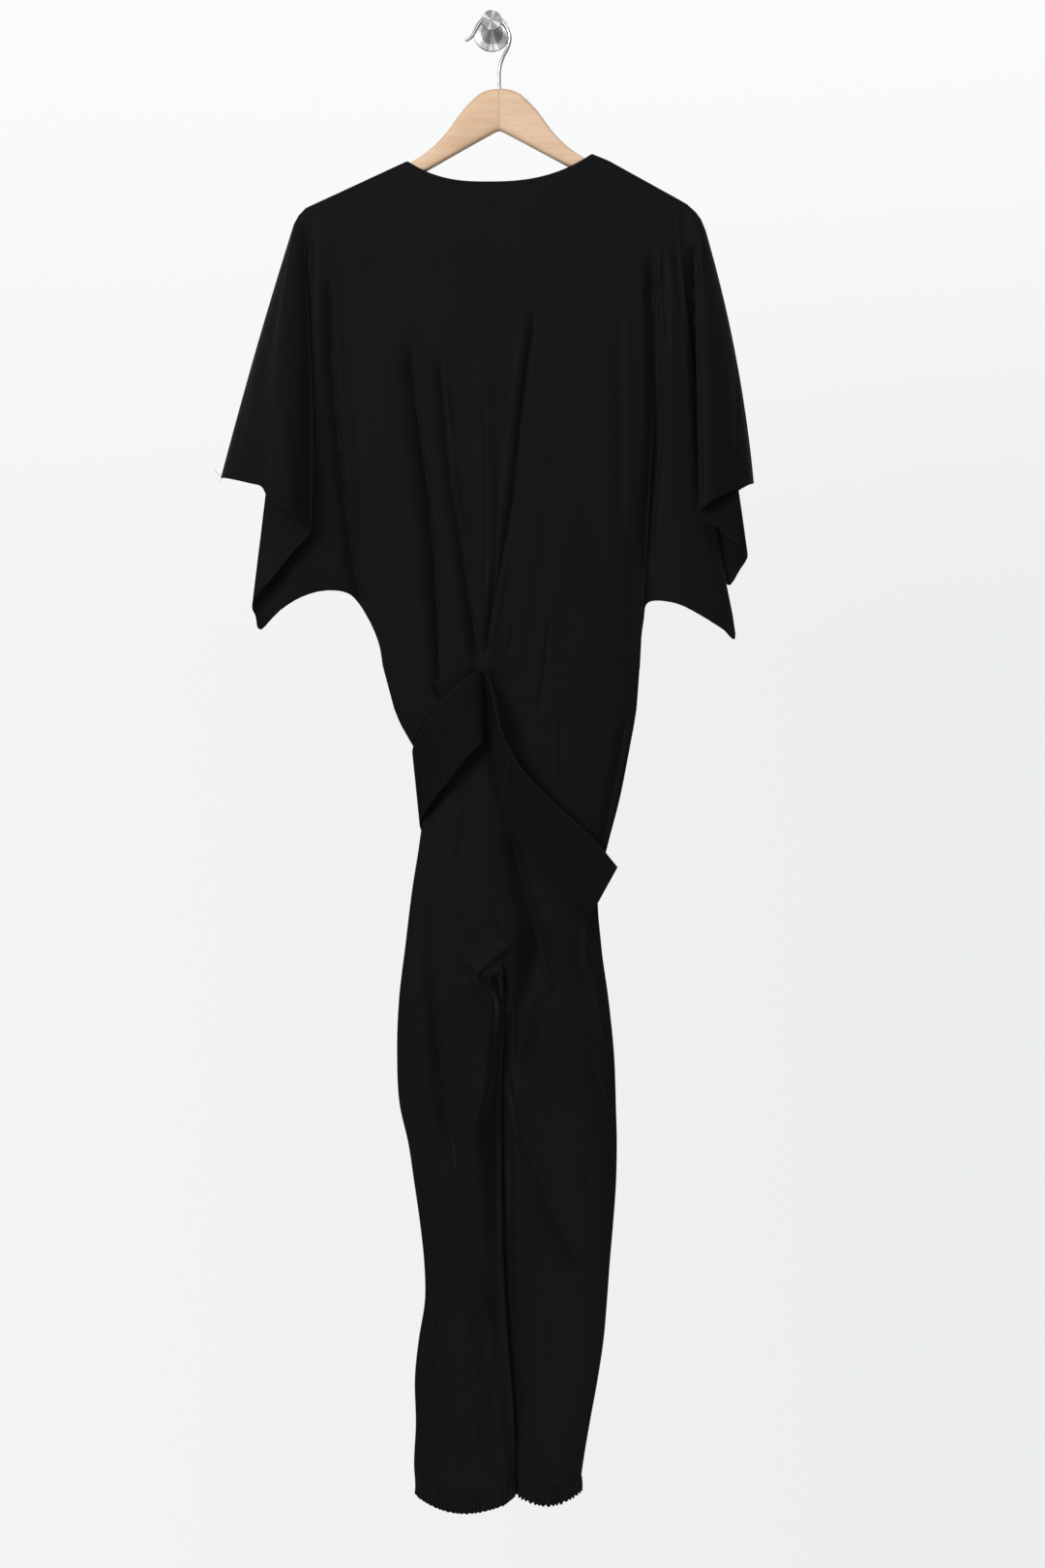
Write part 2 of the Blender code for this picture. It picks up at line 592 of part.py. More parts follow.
def leg_out(x, drop, leg, side, folds):
    """How far a leg's wall lies from the middle plane."""
    outer = level("outer_" + leg, drop)
    from_outer = np.abs(x - outer)
    from_inner = np.abs(x - inner_x(drop, leg, side))
    rounding = level("rounding", drop)
    profile = 1 - (1 - np.clip(from_outer / rounding, 0, 1)) ** SIDE_POWER
    closing = ease((drop - CROTCH_DROP + CROTCH_ROLL) / CROTCH_ROLL)
    flat = INNER_FLAT * (1 - ease((drop - HEM_OPENS[0]) / (HEM_OPENS[1] - HEM_OPENS[0])))
    roll = INNER_ROLL_TOP + (INNER_ROLL_LOW - INNER_ROLL_TOP) * ease((drop - CROTCH_DROP) / INNER_ROLL_REACH)
    profile = profile * (1 - closing * (1 - ease((from_inner - flat) / roll)))
    depth = level("depth_back" if side > 0 else "depth_front", drop)
    depth = depth + relief(x, drop, folds)
    # Below the crotch the left leg's inner edge lies nearer the room than the right leg's.
    beside = 1 - ease(from_inner / STAGGER_WIDTH)
    stagger = LEG_STAGGER * ease((drop - CROTCH_DROP) / STAGGER_REACH) * beside
    towards_room = stagger if leg == "left" else -stagger
    return SEAM_OUT + depth * profile + side * towards_room


def hem_drop(x, ankle, outer, inner):
    share = np.clip((x - outer) / (inner - outer), 0, 1)
    return ankle.hem_drop + ankle.sag * np.sin(math.pi * share)


def ankle_ends(ankle, leg, side):
    return level("outer_" + leg, ankle.hem_drop), inner_x(ankle.hem_drop, leg, side)


def leg_panel(name, leg, side, ankle, columns, folds):
    share = np.linspace(0, 1, columns)
    # Columns stand closer together near both seams, where the wall turns.
    swing = np.cos(math.pi * share)
    share = 0.5 - 0.5 * swing * (1 - EDGE_CROWDING * (1 - swing**2))
    outer_end, inner_end = ankle_ends(ankle, leg, side)
    hem = hem_drop(outer_end + (inner_end - outer_end) * share, ankle, outer_end, inner_end)
    first = LEVELS[0]
    waist_x = level("outer_" + leg, first.drop) * (1 - share) + inner_x(first.drop, leg, side) * share
    band_share = (waist_x - first.outer_left) / (first.outer_right - first.outer_left)
    band_x = WAIST_LEFT + (WAIST_RIGHT - WAIST_LEFT) * band_share
    top = waist_drop(band_x) + WAISTBAND_HEIGHT + SEAM_GAP / 2
    drops = np.array(LEG_ROW_DROPS, float)
    fall = ((drops - drops[0]) / (drops[-1] - drops[0]))[:, None]
    # Rows are level from the crotch to the knee, and meet the slanting seams at both ends.
    drop = drops[:, None] + (top - drops[0]) * ease(1 - fall / TOP_SLANT)
    drop += (hem - drops[-1]) * ease(1 - (1 - fall) / HEM_SLANT)
    outer = level("outer_" + leg, drop)
    inner = inner_x(drop, leg, side) + (SEAM_GAP / 2 if leg == "right" else -SEAM_GAP / 2)
    x = outer + (inner - outer) * share
    return cloth_grid(name, placed(x, drop, leg_out(x, drop, leg, side, folds), side), BLACK_JERSEY)


def ankle_casing(name, leg, ankle, folds_back, folds_front):
    """An elastic casing: a ring of small gathers below both panels of a leg."""
    share = 0.5 - 0.5 * np.cos(np.linspace(0, math.pi, CASING_POINTS))
    halves = []
    for side, folds in ((1, folds_back), (-1, folds_front)):
        outer, inner = ankle_ends(ankle, leg, side)
        x = outer + (inner - outer) * share
        drop = hem_drop(x, ankle, outer, inner)
        out = leg_out(x, drop, leg, side, folds)
        end = np.minimum(np.abs(x - outer), np.abs(x - inner))
        centre = out[-1] - SEAM_OUT if side > 0 else SEAM_OUT - out[-1]
        centre = centre * ease(1 - np.abs(x - inner) / CASING_MIDDLE_REACH)
        least = side * centre + CASING_END_DEPTH * quarter_round(end, CASING_ROUND)
        half = placed(x, drop, np.maximum(out * ease(end / CASING_TURN), least), side)
        halves.append(half[:-1] if side > 0 else half[:0:-1])
    ring = np.concatenate(halves)
    following = np.roll(ring, -1, axis=0)
    along = np.concatenate([[0], np.cumsum(np.linalg.norm(following - ring, axis=1))])
    ring = np.concatenate([ring, ring[:1]])
    at = np.arange(4 * ankle.gathers) / (4 * ankle.gathers) * along[-1]
    ring = np.stack([np.interp(at, along, ring[:, axis]) for axis in range(3)], axis=1)
    tangent = np.roll(ring, -1, axis=0) - np.roll(ring, 1, axis=0)
    outward = np.stack([-tangent[:, 1], tangent[:, 0], np.zeros(len(ring))], axis=1)
    outward /= np.linalg.norm(outward, axis=1)[:, None]
    wave = GATHER_DEPTH * np.where(np.arange(len(ring)) % 2 == 0, 1, -1)[:, None]
    rows = []
    for rise in (0.0, 0.5, 1.0):
        row = ring + outward * wave * (GATHER_TOP_SHARE + (1 - GATHER_TOP_SHARE) * rise)
        row[:, 2] = ring[:, 2] - CASING_GAP - rise * CASING_HEIGHT
        rows.append(row)
    return cloth_grid(name, np.array(rows), BLACK_JERSEY, closed=True)


# ---------------------------------------------------------------- belt


def belt_stretch(name, stations, count):
    at = np.linspace(0, len(stations) - 1, count)
    knots = np.arange(len(stations))
    edge = {field: through(at, knots, column_of(stations, field)) for field in Station._fields}
    up = placed(edge["x_up"], edge["drop_up"], edge["out_up"], 1)
    low = placed(edge["x_low"], edge["drop_low"], edge["out_low"], 1)
    share = np.linspace(0, 1, BELT_ROWS)[:, None, None]
    return cloth_grid(name, (1 - share) * up + share * low, BLACK_ELASTIC, BELT_THICK)


# ---------------------------------------------------------------- hanger and knob


def rounded_section(height, thick, corner):
    """Points round a rectangle with round corners, as y and z about its centre."""
    points = []
    for quadrant, (sign_y, sign_z) in enumerate(((1, 1), (-1, 1), (-1, -1), (1, -1))):
        for step in range(3):
            angle = math.radians(90 * quadrant + 45 * step)
            y = sign_y * (thick / 2 - corner) + corner * math.cos(angle)
            z = sign_z * (height / 2 - corner) + corner * math.sin(angle)
            points.append((y, z))
    return points


def hanger_wood():
    """Both arms as one loft of rounded sections from tip to tip."""
    across = column_of(ARM_TOP, "across")
    across = np.concatenate([-across[:0:-1], across])
    made = bmesh.new()
    rings = []
    for station in across:
        top = float(through(abs(station), column_of(ARM_TOP, "across"), column_of(ARM_TOP, "top")))
        under = ARM_UNDERSIDE_START + ARM_UNDERSIDE_SLOPE * abs(station)
        close = ease((HANGER_HALF_SPAN - abs(station)) / ARM_TIP_REACH)
        thick = HANGER_THICK * (ARM_TIP_THICK + (1 - ARM_TIP_THICK) * close)
        middle, height = (top + under) / 2, (under - top) * (ARM_TIP_HEIGHT + (1 - ARM_TIP_HEIGHT) * close)
        ring = []
        for y, z in rounded_section(height, thick, min(thick, height) * ARM_CORNER):
            x = HANGER_APEX[0] + station
            drop = HANGER_APEX[1] + middle - HANGER_TILT * station - z
            ring.append(made.verts.new((x * MM, (MIDDLE_Y + y) * MM, -drop * MM)))
        rings.append(ring)
    for ring, following in zip(rings, rings[1:]):
        for at in range(len(ring)):
            after = (at + 1) % len(ring)
            made.faces.new((ring[at], ring[after], following[after], following[at]))
    made.faces.new(rings[0])
    made.faces.new(rings[-1])
    bmesh.ops.recalc_face_normals(made, faces=made.faces[:])
    mesh = bpy.data.meshes.new("hanger_wood")
    made.to_mesh(mesh)
    made.free()
    mesh.shade_smooth()
    mesh.set_sharp_from_angle(angle=math.radians(40))
    wood = add_object("hanger_wood", mesh, WOOD)

    bpy.ops.mesh.primitive_cylinder_add(
        vertices=16,
        radius=(WIRE_RADIUS + WIRE_HOLE_GAP) * MM,
        depth=2 * (WIRE_DEPTH_IN_WOOD + 1) * MM,
        location=(HANGER_APEX[0] * MM, MIDDLE_Y * MM, -HANGER_APEX[1] * MM),
    )
    drill = bpy.context.active_object
    drill.name = "wire_hole_cutter"
    drill.display_type = "WIRE"
    drill.hide_render = True
    for owner in list(drill.users_collection):
        owner.objects.unlink(drill)
    CUTTERS.objects.link(drill)
    hole = wood.modifiers.new("wire hole", "BOOLEAN")
    hole.operation = "DIFFERENCE"
    hole.object = drill
    hole.solver = "EXACT"
    return wood


def hanger_hook():
    """Bent wire: out of the wood, round the knob's stem and on to its flicked tip."""
    start = [(HANGER_APEX[0], HANGER_APEX[1] + WIRE_DEPTH_IN_WOOD), (HANGER_APEX[0], HANGER_APEX[1])]
    knots = np.array(start + list(WIRE_LINE))
    along = np.concatenate([[0], np.cumsum(np.hypot(*np.diff(knots, axis=0).T))])
    at = np.linspace(0, along[-1], 38)
    line = np.stack([through(at, along, knots[:, 0]), through(at, along, knots[:, 1])], axis=1)
    curve = bpy.data.curves.new("hanger_hook", "CURVE")
    curve.dimensions = "3D"
    curve.bevel_depth = WIRE_RADIUS * MM
    curve.bevel_resolution = 2
    curve.use_fill_caps = True
    spline = curve.splines.new("POLY")
    spline.points.add(len(line) - 1)
    for point, (x, drop) in zip(spline.points, line):
        point.co = (x * MM, MIDDLE_Y * MM, -drop * MM, 1)
    return add_object("hanger_hook", curve, WIRE_STEEL)


def wall_knob():
    """A turned knob: flange on the wall, trumpet-shaped stem and a small front disc."""
    # Radius and distance from the wall, from the front disc's centre back to the wall.
    profile = [
        (0, KNOB_LENGTH),
        (DISC_RADIUS - DISC_EDGE, KNOB_LENGTH),
        (DISC_RADIUS, KNOB_LENGTH - DISC_EDGE),
        (DISC_RADIUS, KNOB_LENGTH - DISC_THICK),
        (DISC_RADIUS - DISC_EDGE, KNOB_LENGTH - DISC_THICK - DISC_EDGE),
        (STEM_RADIUS, KNOB_LENGTH - COLLAR_LENGTH),
        (STEM_RADIUS, KNOB_LENGTH - STEM_END),
    ]
    for step in range(1, TRUMPET_STEPS + 1):
        share = step / TRUMPET_STEPS
        distance = KNOB_LENGTH - STEM_END - share * (KNOB_LENGTH - STEM_END - FLANGE_THICK)
        flare = (FLANGE_RADIUS * TRUMPET_WIDTH - STEM_RADIUS) * share**TRUMPET_CURVE
        profile.append((STEM_RADIUS + flare, distance))
    profile += [
        (FLANGE_RADIUS - FLANGE_EDGE, FLANGE_THICK),
        (FLANGE_RADIUS, FLANGE_THICK - FLANGE_EDGE),
        (FLANGE_RADIUS, 0),
        (0, 0),
    ]
    mesh = bpy.data.meshes.new("wall_knob")
    points = [(radius * MM, 0, distance * MM) for radius, distance in profile]
    mesh.from_pydata(points, [(i, i + 1) for i in range(len(points) - 1)], [])
    made = add_object("wall_knob", mesh, BRUSHED_STEEL)
    made.rotation_euler = (math.radians(90), 0, 0)
    turn = made.modifiers.new("turned", "SCREW")
    turn.axis = "Z"
    turn.steps = turn.render_steps = 26
    turn.use_merge_vertices = True
    turn.merge_threshold = 0.00001
    turn.use_smooth_shade = True
    return made


# ---------------------------------------------------------------- the whole object

for existing in list(bpy.data.objects):
    bpy.data.objects.remove(existing, do_unlink=True)

PARTS = fresh_collection("jumpsuit on a hanger")
CUTTERS = fresh_collection("cutters")

BLACK_JERSEY = material("black jersey", INK, 0.62)
BLACK_ELASTIC = material("black elastic", BELT_BLACK, 0.85)
WOOD = material("beech", BEECH, 0.45)
WIRE_STEEL = material("wire steel", STEEL, 0.25, 1.0)
BRUSHED_STEEL = material("brushed steel", STEEL, 0.35, 1.0)

hanger_wood()
hanger_hook()
wall_knob()

SLEEVES_BACK, SLEEVES_FRONT = (LEFT_SLEEVE, RIGHT_SLEEVE), (LEFT_SLEEVE_FRONT, RIGHT_SLEEVE_FRONT)
bodice("back_bodice", 1, NECK_LOW[1], ROWS_BACK, SLEEVES_BACK, LINES_BACK, BODICE_FOLDS)
bodice("front_bodice", -1, FRONT_NECK_DROP, ROWS_FRONT, SLEEVES_FRONT, LINES_FRONT, FRONT_FOLDS)
waistband("back_waistband", 1, LINES_BACK, BODICE_FOLDS)
waistband("front_waistband", -1, LINES_FRONT, FRONT_FOLDS)

for leg, ankle in (("left", LEFT_ANKLE), ("right", RIGHT_ANKLE)):
    leg_panel(f"back_{leg}_leg", leg, 1, ankle, LEG_COLUMNS_BACK, BODICE_FOLDS + SEAT_FOLDS)
    leg_panel(f"front_{leg}_leg", leg, -1, ankle, LEG_COLUMNS_FRONT, FRONT_FOLDS)
    ankle_casing(f"{leg}_ankle_casing", leg, ankle, BODICE_FOLDS + SEAT_FOLDS, FRONT_FOLDS)

belt_stretch("belt_left_stretch", BELT_LEFT, 22)
belt_stretch("belt_right_stretch", BELT_RIGHT, 18)
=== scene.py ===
# %% [markdown]
# # A black jumpsuit on a wooden hanger
#
# The real thing is a stretch jersey jumpsuit that hangs from a round steel wall knob by a
# beech hanger, its back to the room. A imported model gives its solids, which are plain. This
# lesson lays thin, creased cloth over them, gives the hanger, hook and knob fine shapes, and
# makes a finish for each. Everything shares one frame: X to the right, Y into the wall and Z up,
# in metres, from the centre of the knob's flange.

import json
import math
from collections import namedtuple

import bpy
import numpy as np
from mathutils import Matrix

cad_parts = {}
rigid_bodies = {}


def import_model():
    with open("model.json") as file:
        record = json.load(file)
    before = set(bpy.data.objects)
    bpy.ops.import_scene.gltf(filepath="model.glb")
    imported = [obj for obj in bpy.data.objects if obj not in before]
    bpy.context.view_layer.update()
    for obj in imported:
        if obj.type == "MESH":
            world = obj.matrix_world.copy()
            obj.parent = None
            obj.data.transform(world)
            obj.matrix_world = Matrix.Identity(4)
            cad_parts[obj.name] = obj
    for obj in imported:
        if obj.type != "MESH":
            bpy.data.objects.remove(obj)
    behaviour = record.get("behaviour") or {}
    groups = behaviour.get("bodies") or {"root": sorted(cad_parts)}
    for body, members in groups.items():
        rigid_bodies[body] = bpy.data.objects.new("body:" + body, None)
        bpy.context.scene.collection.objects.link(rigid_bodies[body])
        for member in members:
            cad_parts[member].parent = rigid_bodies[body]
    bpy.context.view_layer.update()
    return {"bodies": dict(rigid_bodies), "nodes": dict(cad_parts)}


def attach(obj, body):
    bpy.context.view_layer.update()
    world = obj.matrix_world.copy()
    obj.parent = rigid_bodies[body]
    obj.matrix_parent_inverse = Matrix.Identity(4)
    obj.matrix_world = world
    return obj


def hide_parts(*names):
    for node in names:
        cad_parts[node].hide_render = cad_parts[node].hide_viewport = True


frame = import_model()
print("solids in the packed model:", len(frame["nodes"]))

# %% [markdown]
# ## Camera, light and floor
#
# A garment is shown straight on, so the camera looks level along Y from about two and a half
# metres. Black cloth has almost no colour of its own: what draws its folds is a large soft lamp
# high on the left, two weak ones low on the right and overhead, and a pale room all round. Two
# background shaders keep the room bright behind the garment without flooding the folds.

# %% Camera
MM = 0.001
camera = bpy.data.objects.new("camera", bpy.data.cameras.new("camera"))
bpy.context.scene.collection.objects.link(camera)
camera.location = (0.034, -2.484, -0.833)
camera.rotation_euler = (math.radians(90), 0, 0)
camera.data.lens = 51.36
bpy.context.scene.camera = camera
print("camera at", tuple(camera.location))

# %% Room light
ROOM_LEFT, ROOM_RIGHT = (0.885, 0.9, 0.915, 1), (0.835, 0.85, 0.86, 1)
ROOM_TOP, ROOM_FELT, FELT_STRENGTH = (0.955, 0.965, 0.965, 1), (0.95, 0.975, 1, 1), 0.27
LEFT_TO_RIGHT, LEVEL_TO_TOP = (-0.22, 0.22), (0.05, 0.33)
room = bpy.data.worlds.new("pale room")
room.use_nodes = True
bpy.context.scene.world = room
room_nodes, room_links = room.node_tree.nodes, room.node_tree.links
seen = room_nodes["Background"]
direction = room_nodes.new("ShaderNodeTexCoord")
parts = room_nodes.new("ShaderNodeSeparateXYZ")
room_links.new(direction.outputs["Generated"], parts.inputs[0])


def room_shade(axis, span, first, second):
    """A colour that changes along one axis of the direction looked in."""
    share = room_nodes.new("ShaderNodeMapRange")
    share.interpolation_type = "SMOOTHSTEP"
    share.inputs["From Min"].default_value, share.inputs["From Max"].default_value = span
    room_links.new(parts.outputs[axis], share.inputs["Value"])
    blend = room_nodes.new("ShaderNodeMix")
    blend.data_type = "RGBA"
    room_links.new(share.outputs[0], blend.inputs[0])
    for socket, colour in ((blend.inputs[6], first), (blend.inputs[7], second)):
        if isinstance(colour, tuple):
            socket.default_value = colour
        else:
            room_links.new(colour, socket)
    return blend.outputs[2]


sideways = room_shade("X", LEFT_TO_RIGHT, ROOM_LEFT, ROOM_RIGHT)
room_links.new(room_shade("Z", LEVEL_TO_TOP, sideways, ROOM_TOP), seen.inputs["Color"])
felt = room_nodes.new("ShaderNodeBackground")
felt.inputs["Color"].default_value = ROOM_FELT
felt.inputs["Strength"].default_value = FELT_STRENGTH
path = room_nodes.new("ShaderNodeLightPath")
either = room_nodes.new("ShaderNodeMixShader")
room_links.new(path.outputs["Is Camera Ray"], either.inputs[0])
room_links.new(felt.outputs[0], either.inputs[1])
room_links.new(seen.outputs[0], either.inputs[2])
room_links.new(either.outputs[0], room_nodes["World Output"].inputs["Surface"])
bpy.context.scene.view_settings.view_transform = "Standard"


def soft_lamp(name, place, aim, size, watts):
    """A square area lamp that faces a point."""
    lamp = bpy.data.objects.new(name, bpy.data.lights.new(name, "AREA"))
    bpy.context.scene.collection.objects.link(lamp)
    lamp.data.size, lamp.data.energy = size, watts
    lamp.location = place
    away = lamp.location - type(lamp.location)(aim)
    lamp.rotation_euler = away.to_track_quat("Z", "Y").to_euler()
    return lamp


soft_lamp("key lamp", (-1.9, -2.5, 0.7), (0, 0, -0.8), 1.3, 98)
soft_lamp("fill lamp", (0.6, -1.7, -1.8), (0, 0, -1.5), 1.0, 17)
soft_lamp("top lamp", (0.1, -1.2, 1.0), (0, 0, -0.1), 1.0, 15)

# %% [markdown]
# The floor is a plain pale disc well below the hems. It is a stage, not part of the garment.

# %% Floor
FLOOR_RADIUS, FLOOR_PLACE = 1.1, (0, -0.05, -2.1)
bpy.ops.object.select_all(action="DESELECT")
bpy.ops.mesh.primitive_circle_add(vertices=96, radius=FLOOR_RADIUS, fill_type="NGON")
floor = bpy.context.object
floor.name = "floor"
bpy.ops.object.mode_set(mode="EDIT")
bpy.ops.transform.translate(value=FLOOR_PLACE)
bpy.ops.mesh.inset(thickness=0.01)
bpy.ops.object.mode_set(mode="OBJECT")
print("floor across:", round(floor.dimensions.x, 2), "m")

# %% [markdown]
# ## Finishes
#
# A finish is one Principled shader with a little drawing in front of it. Two small classes keep
# the drawing readable. `Value` wraps a socket, so that sums of sockets can be written as ordinary
# Python. `Finish` makes the material and adds any node from its type, settings and inputs.

# %% Shader helpers


class Value:
    """A number from a shader socket that takes part in sums."""

    def __init__(self, finish, socket):
        self.finish, self.socket = finish, socket

    def math(self, operation, first, second=0.0):
        return self.finish.math_of(operation, first, second)

    def __add__(self, other):
        return self.math("ADD", self, other)

    def __sub__(self, other):
        return self.math("SUBTRACT", self, other)

    def __rsub__(self, other):
        return self.math("SUBTRACT", other, self)

    def __mul__(self, other):
        return self.math("MULTIPLY", self, other)

    def __pow__(self, other):
        return self.math("POWER", self, other)

    def absolute(self):
        return self.math("ABSOLUTE", self)

    def wave(self):
        return self.math("SINE", self)

    def cosine(self):
        return self.math("COSINE", self)

    def between(self, low, high):
        """0 at low, 1 at high and a straight line between, held at both ends."""
        inputs = {"Value": self, "From Min": low, "From Max": high}
        return self.finish.node("ShaderNodeMapRange", {"clamp": True}, inputs)

    __radd__, __rmul__ = __add__, __mul__


class Finish:
    """A material with its Principled shader and short ways to draw in front of it."""

    def __init__(self, name, **constants):
        self.material = bpy.data.materials.new(name)
        self.material.use_nodes = True
        self.tree = self.material.node_tree
        self.shader = self.tree.nodes["Principled BSDF"]
        for socket, value in constants.items():
            self.shader.inputs[socket.replace("_", " ")].default_value = value

    def node(self, kind, settings=None, inputs=None, output=0):
        made = self.tree.nodes.new(kind)
        for setting, value in (settings or {}).items():
            setattr(made, setting, value)
        for socket, value in (inputs or {}).items():
            self.feed(made.inputs[socket], value)
        return Value(self, made.outputs[output])

    def feed(self, socket, value):
        if isinstance(value, Value):
            self.tree.links.new(value.socket, socket)
        else:
            socket.default_value = value

    def to_shader(self, **sockets):
        for socket, value in sockets.items():
            self.feed(self.shader.inputs[socket.replace("_", " ")], value)

    def place(self, stretch=(1, 1, 1), turn=(0, 0, 0), shift=(0, 0, 0), source="Object"):
        """The piece's own coordinates, moved, turned and stretched."""
        own = self.node("ShaderNodeTexCoord", output=source)
        settings = {"Location": shift, "Rotation": turn, "Scale": stretch}
        return self.node("ShaderNodeMapping", None, {"Vector": own, **settings})

    def noise(self, where, scale, detail=2.0, roughness=0.5):
        inputs = {"Vector": where, "Scale": scale, "Detail": detail, "Roughness": roughness}
        return self.node("ShaderNodeTexNoise", None, inputs)

    def mix(self, share, first, second):
        """A colour between two colours."""
        inputs = {0: share, 6: first, 7: second}
        return self.node("ShaderNodeMix", {"data_type": "RGBA"}, inputs, output=2)

    def bump(self, height, distance, strength=1.0):
        inputs = {"Strength": strength, "Distance": distance, "Height": height}
        return self.node("ShaderNodeBump", None, inputs)

    def math_of(self, operation, first, second):
        return self.node("ShaderNodeMath", {"operation": operation}, {0: first, 1: second})

    def axis(self, where, index):
        return self.node("ShaderNodeSeparateXYZ", None, {0: where}, output=index)


print("shader helpers are ready")

# %% [markdown]
# ### Black jersey
#
# The cloth is a smooth, dense stretch crepe: nearly black, with a faint cool sheen that
# brightens where it turns away. A little noise at three sizes is enough. Broad clouds vary the
# dye, a pebble of half a millimetre gives the crepe its dry surface, and very soft dents stand
# for where the cloth has been pulled and pressed.

# %% Black jersey
jersey = Finish(
    "black jersey",
    Metallic=0.0,
    IOR=1.45,
    Specular_IOR_Level=0.035,
    Sheen_Weight=0.08,
    Sheen_Roughness=0.35,
    Sheen_Tint=(0.9, 0.95, 1, 1),
)
cloth_place = jersey.place()
clouds = jersey.noise(cloth_place, 9.0, 3.0)
pebble = jersey.noise(cloth_place, 1500.0, 2.0, 0.6)
dents = jersey.noise(jersey.place((1, 1, 0.35)), 38.0, 3.0, 0.55)
dye = clouds.between(0.3, 0.7) * 0.4 + pebble.between(0.3, 0.7) * 0.4 + 0.1
jersey.to_shader(
    Base_Color=jersey.mix(dye, (0.0034, 0.0035, 0.0041, 1), (0.005, 0.0051, 0.006, 1)),
    Roughness=0.58 + clouds * 0.12,
    Normal=jersey.bump(pebble * 0.0001 + dents * 0.0007, 1.0),
)
print("black jersey nodes:", len(jersey.tree.nodes))

# %% [markdown]
# ### Black elastic
#
# The belt is wide woven elastic, duller and browner than the jersey. It has fine ribs along its
# length and the rubber threads pucker it crosswise. Both follow the strip, so they are drawn on
# the strip's own UV map, where U runs along the belt and V across it.

# %% Black elastic
RIBS_ACROSS, PUCKERS_ALONG = 34, 150
elastic = Finish("black elastic", Metallic=0.0, Roughness=0.85, Specular_IOR_Level=0.03)
strip_place = elastic.place(source="UV")
along, across = elastic.axis(strip_place, 0), elastic.axis(strip_place, 1)
ribs = (across * (2 * math.pi * RIBS_ACROSS)).wave()
puckers = (along * (2 * math.pi * PUCKERS_ALONG) + ribs * 0.9).wave()
lint = elastic.noise(elastic.place(), 700.0, 3.0, 0.7)
# A thin lighter line along the belt's upper edge is a painted highlight.
edge = across.between(0.975, 0.99)
weave = ribs * 0.3 + puckers * 0.2 + lint * 2.2 - 0.6
elastic.to_shader(
    Base_Color=elastic.mix(
        weave.between(0.0, 1.0) * 0.4 + edge * 0.4,
        (0.0027, 0.0026, 0.0026, 1),
        (0.0115, 0.0111, 0.0109, 1),
    ),
    Roughness=0.8 + lint * 0.15,
    Normal=elastic.bump(ribs * 0.00009 + puckers * 0.00006 + lint * 0.0003, 1.0),
)
print("black elastic nodes:", len(elastic.tree.nodes))

# %% [markdown]
# ### Beech
#
# Each arm of the hanger is sawn from one board, so the grain follows the arm's slope, and the
# two arms meet on an upright joint under the hook. The grain is noise stretched along the arm.
# A mask of the right half picks which way it leans. Beech also has short dark flecks.

# %% Beech
beech = Finish("beech", Metallic=0.0, Roughness=0.42, Specular_IOR_Level=0.35)
APEX_X, ARM_LEAN = 8.6 * MM, math.radians(35)
wood_place = beech.place(shift=(-APEX_X, 0, 0))
to_right = beech.axis(wood_place, 0).between(-0.0002, 0.0002)


def arm_noise(lean, stretch, scale, detail):
    where = beech.place((stretch, 1.4, 1), (0, lean, 0), (-APEX_X, 0, 0))
    return beech.noise(where, scale, detail, 0.6)


def both_arms(stretch, scale, detail):
    left = arm_noise(ARM_LEAN, stretch, scale, detail)
    right = arm_noise(-ARM_LEAN, stretch, scale, detail)
    return left * (1 - to_right) + right * to_right


grain = both_arms(0.06, 420.0, 3.0)
figure = both_arms(0.12, 60.0, 2.0)
flecks = both_arms(0.22, 900.0, 1.0).between(0.66, 0.72)
joint = 1 - beech.axis(wood_place, 0).absolute().between(0.0001, 0.0005)
pale = beech.mix(figure.between(0.3, 0.7), (0.53, 0.385, 0.27, 1), (0.445, 0.3, 0.19, 1))
grained = beech.mix(grain.between(0.35, 0.75) * 0.45, pale, (0.46, 0.28, 0.15, 1))
flecked = beech.mix(flecks * 0.35 + joint * 0.45, grained, (0.33, 0.17, 0.08, 1))
beech.to_shader(
    Base_Color=flecked,
    Roughness=0.36 + grain * 0.14,
    Normal=beech.bump(grain * 0.0002 - joint * 0.0003, 1.0),
)
print("beech nodes:", len(beech.tree.nodes))

# %% [markdown]
# ### Steel
#
# The hook is plated wire, smooth with faint drawing marks. The knob is turned and brushed: fine rings
# round its axis are a sine of the distance from the axis, broken up by noise, and bump the surface.
# The bright rays that brushed steel throws across the front disc and the stem are painted into its
# colour as painted highlights, and the front disc is painted in darker greys than the stem as painted
# shade.

# %% Steel
wire_steel = Finish("wire steel", Metallic=1.0, Roughness=0.2)
drawn = wire_steel.noise(wire_steel.place((1, 1, 0.2)), 800.0)
wire_steel.to_shader(
    Base_Color=wire_steel.mix(drawn, (0.5, 0.49, 0.48, 1), (0.68, 0.67, 0.65, 1)),
    Roughness=0.16 + drawn * 0.14,
)

RING_PITCH = 0.00028
brushed = Finish("brushed steel", Metallic=0.9, Roughness=0.3)
knob_place = brushed.place()
flat_x, flat_z = brushed.axis(knob_place, 0), brushed.axis(knob_place, 2)
from_axis = (flat_x * flat_x + flat_z * flat_z) ** 0.5
around = brushed.math_of("ARCTAN2", flat_z, flat_x)


def fan(angle, narrow):
    """A painted highlight: a bright ray through the axis at this angle, in degrees, and its mirror
    image.
    """
    return (around - math.radians(angle)).cosine().absolute() ** narrow


in_front = 1 - brushed.axis(knob_place, 1).between(-0.0435, -0.042)
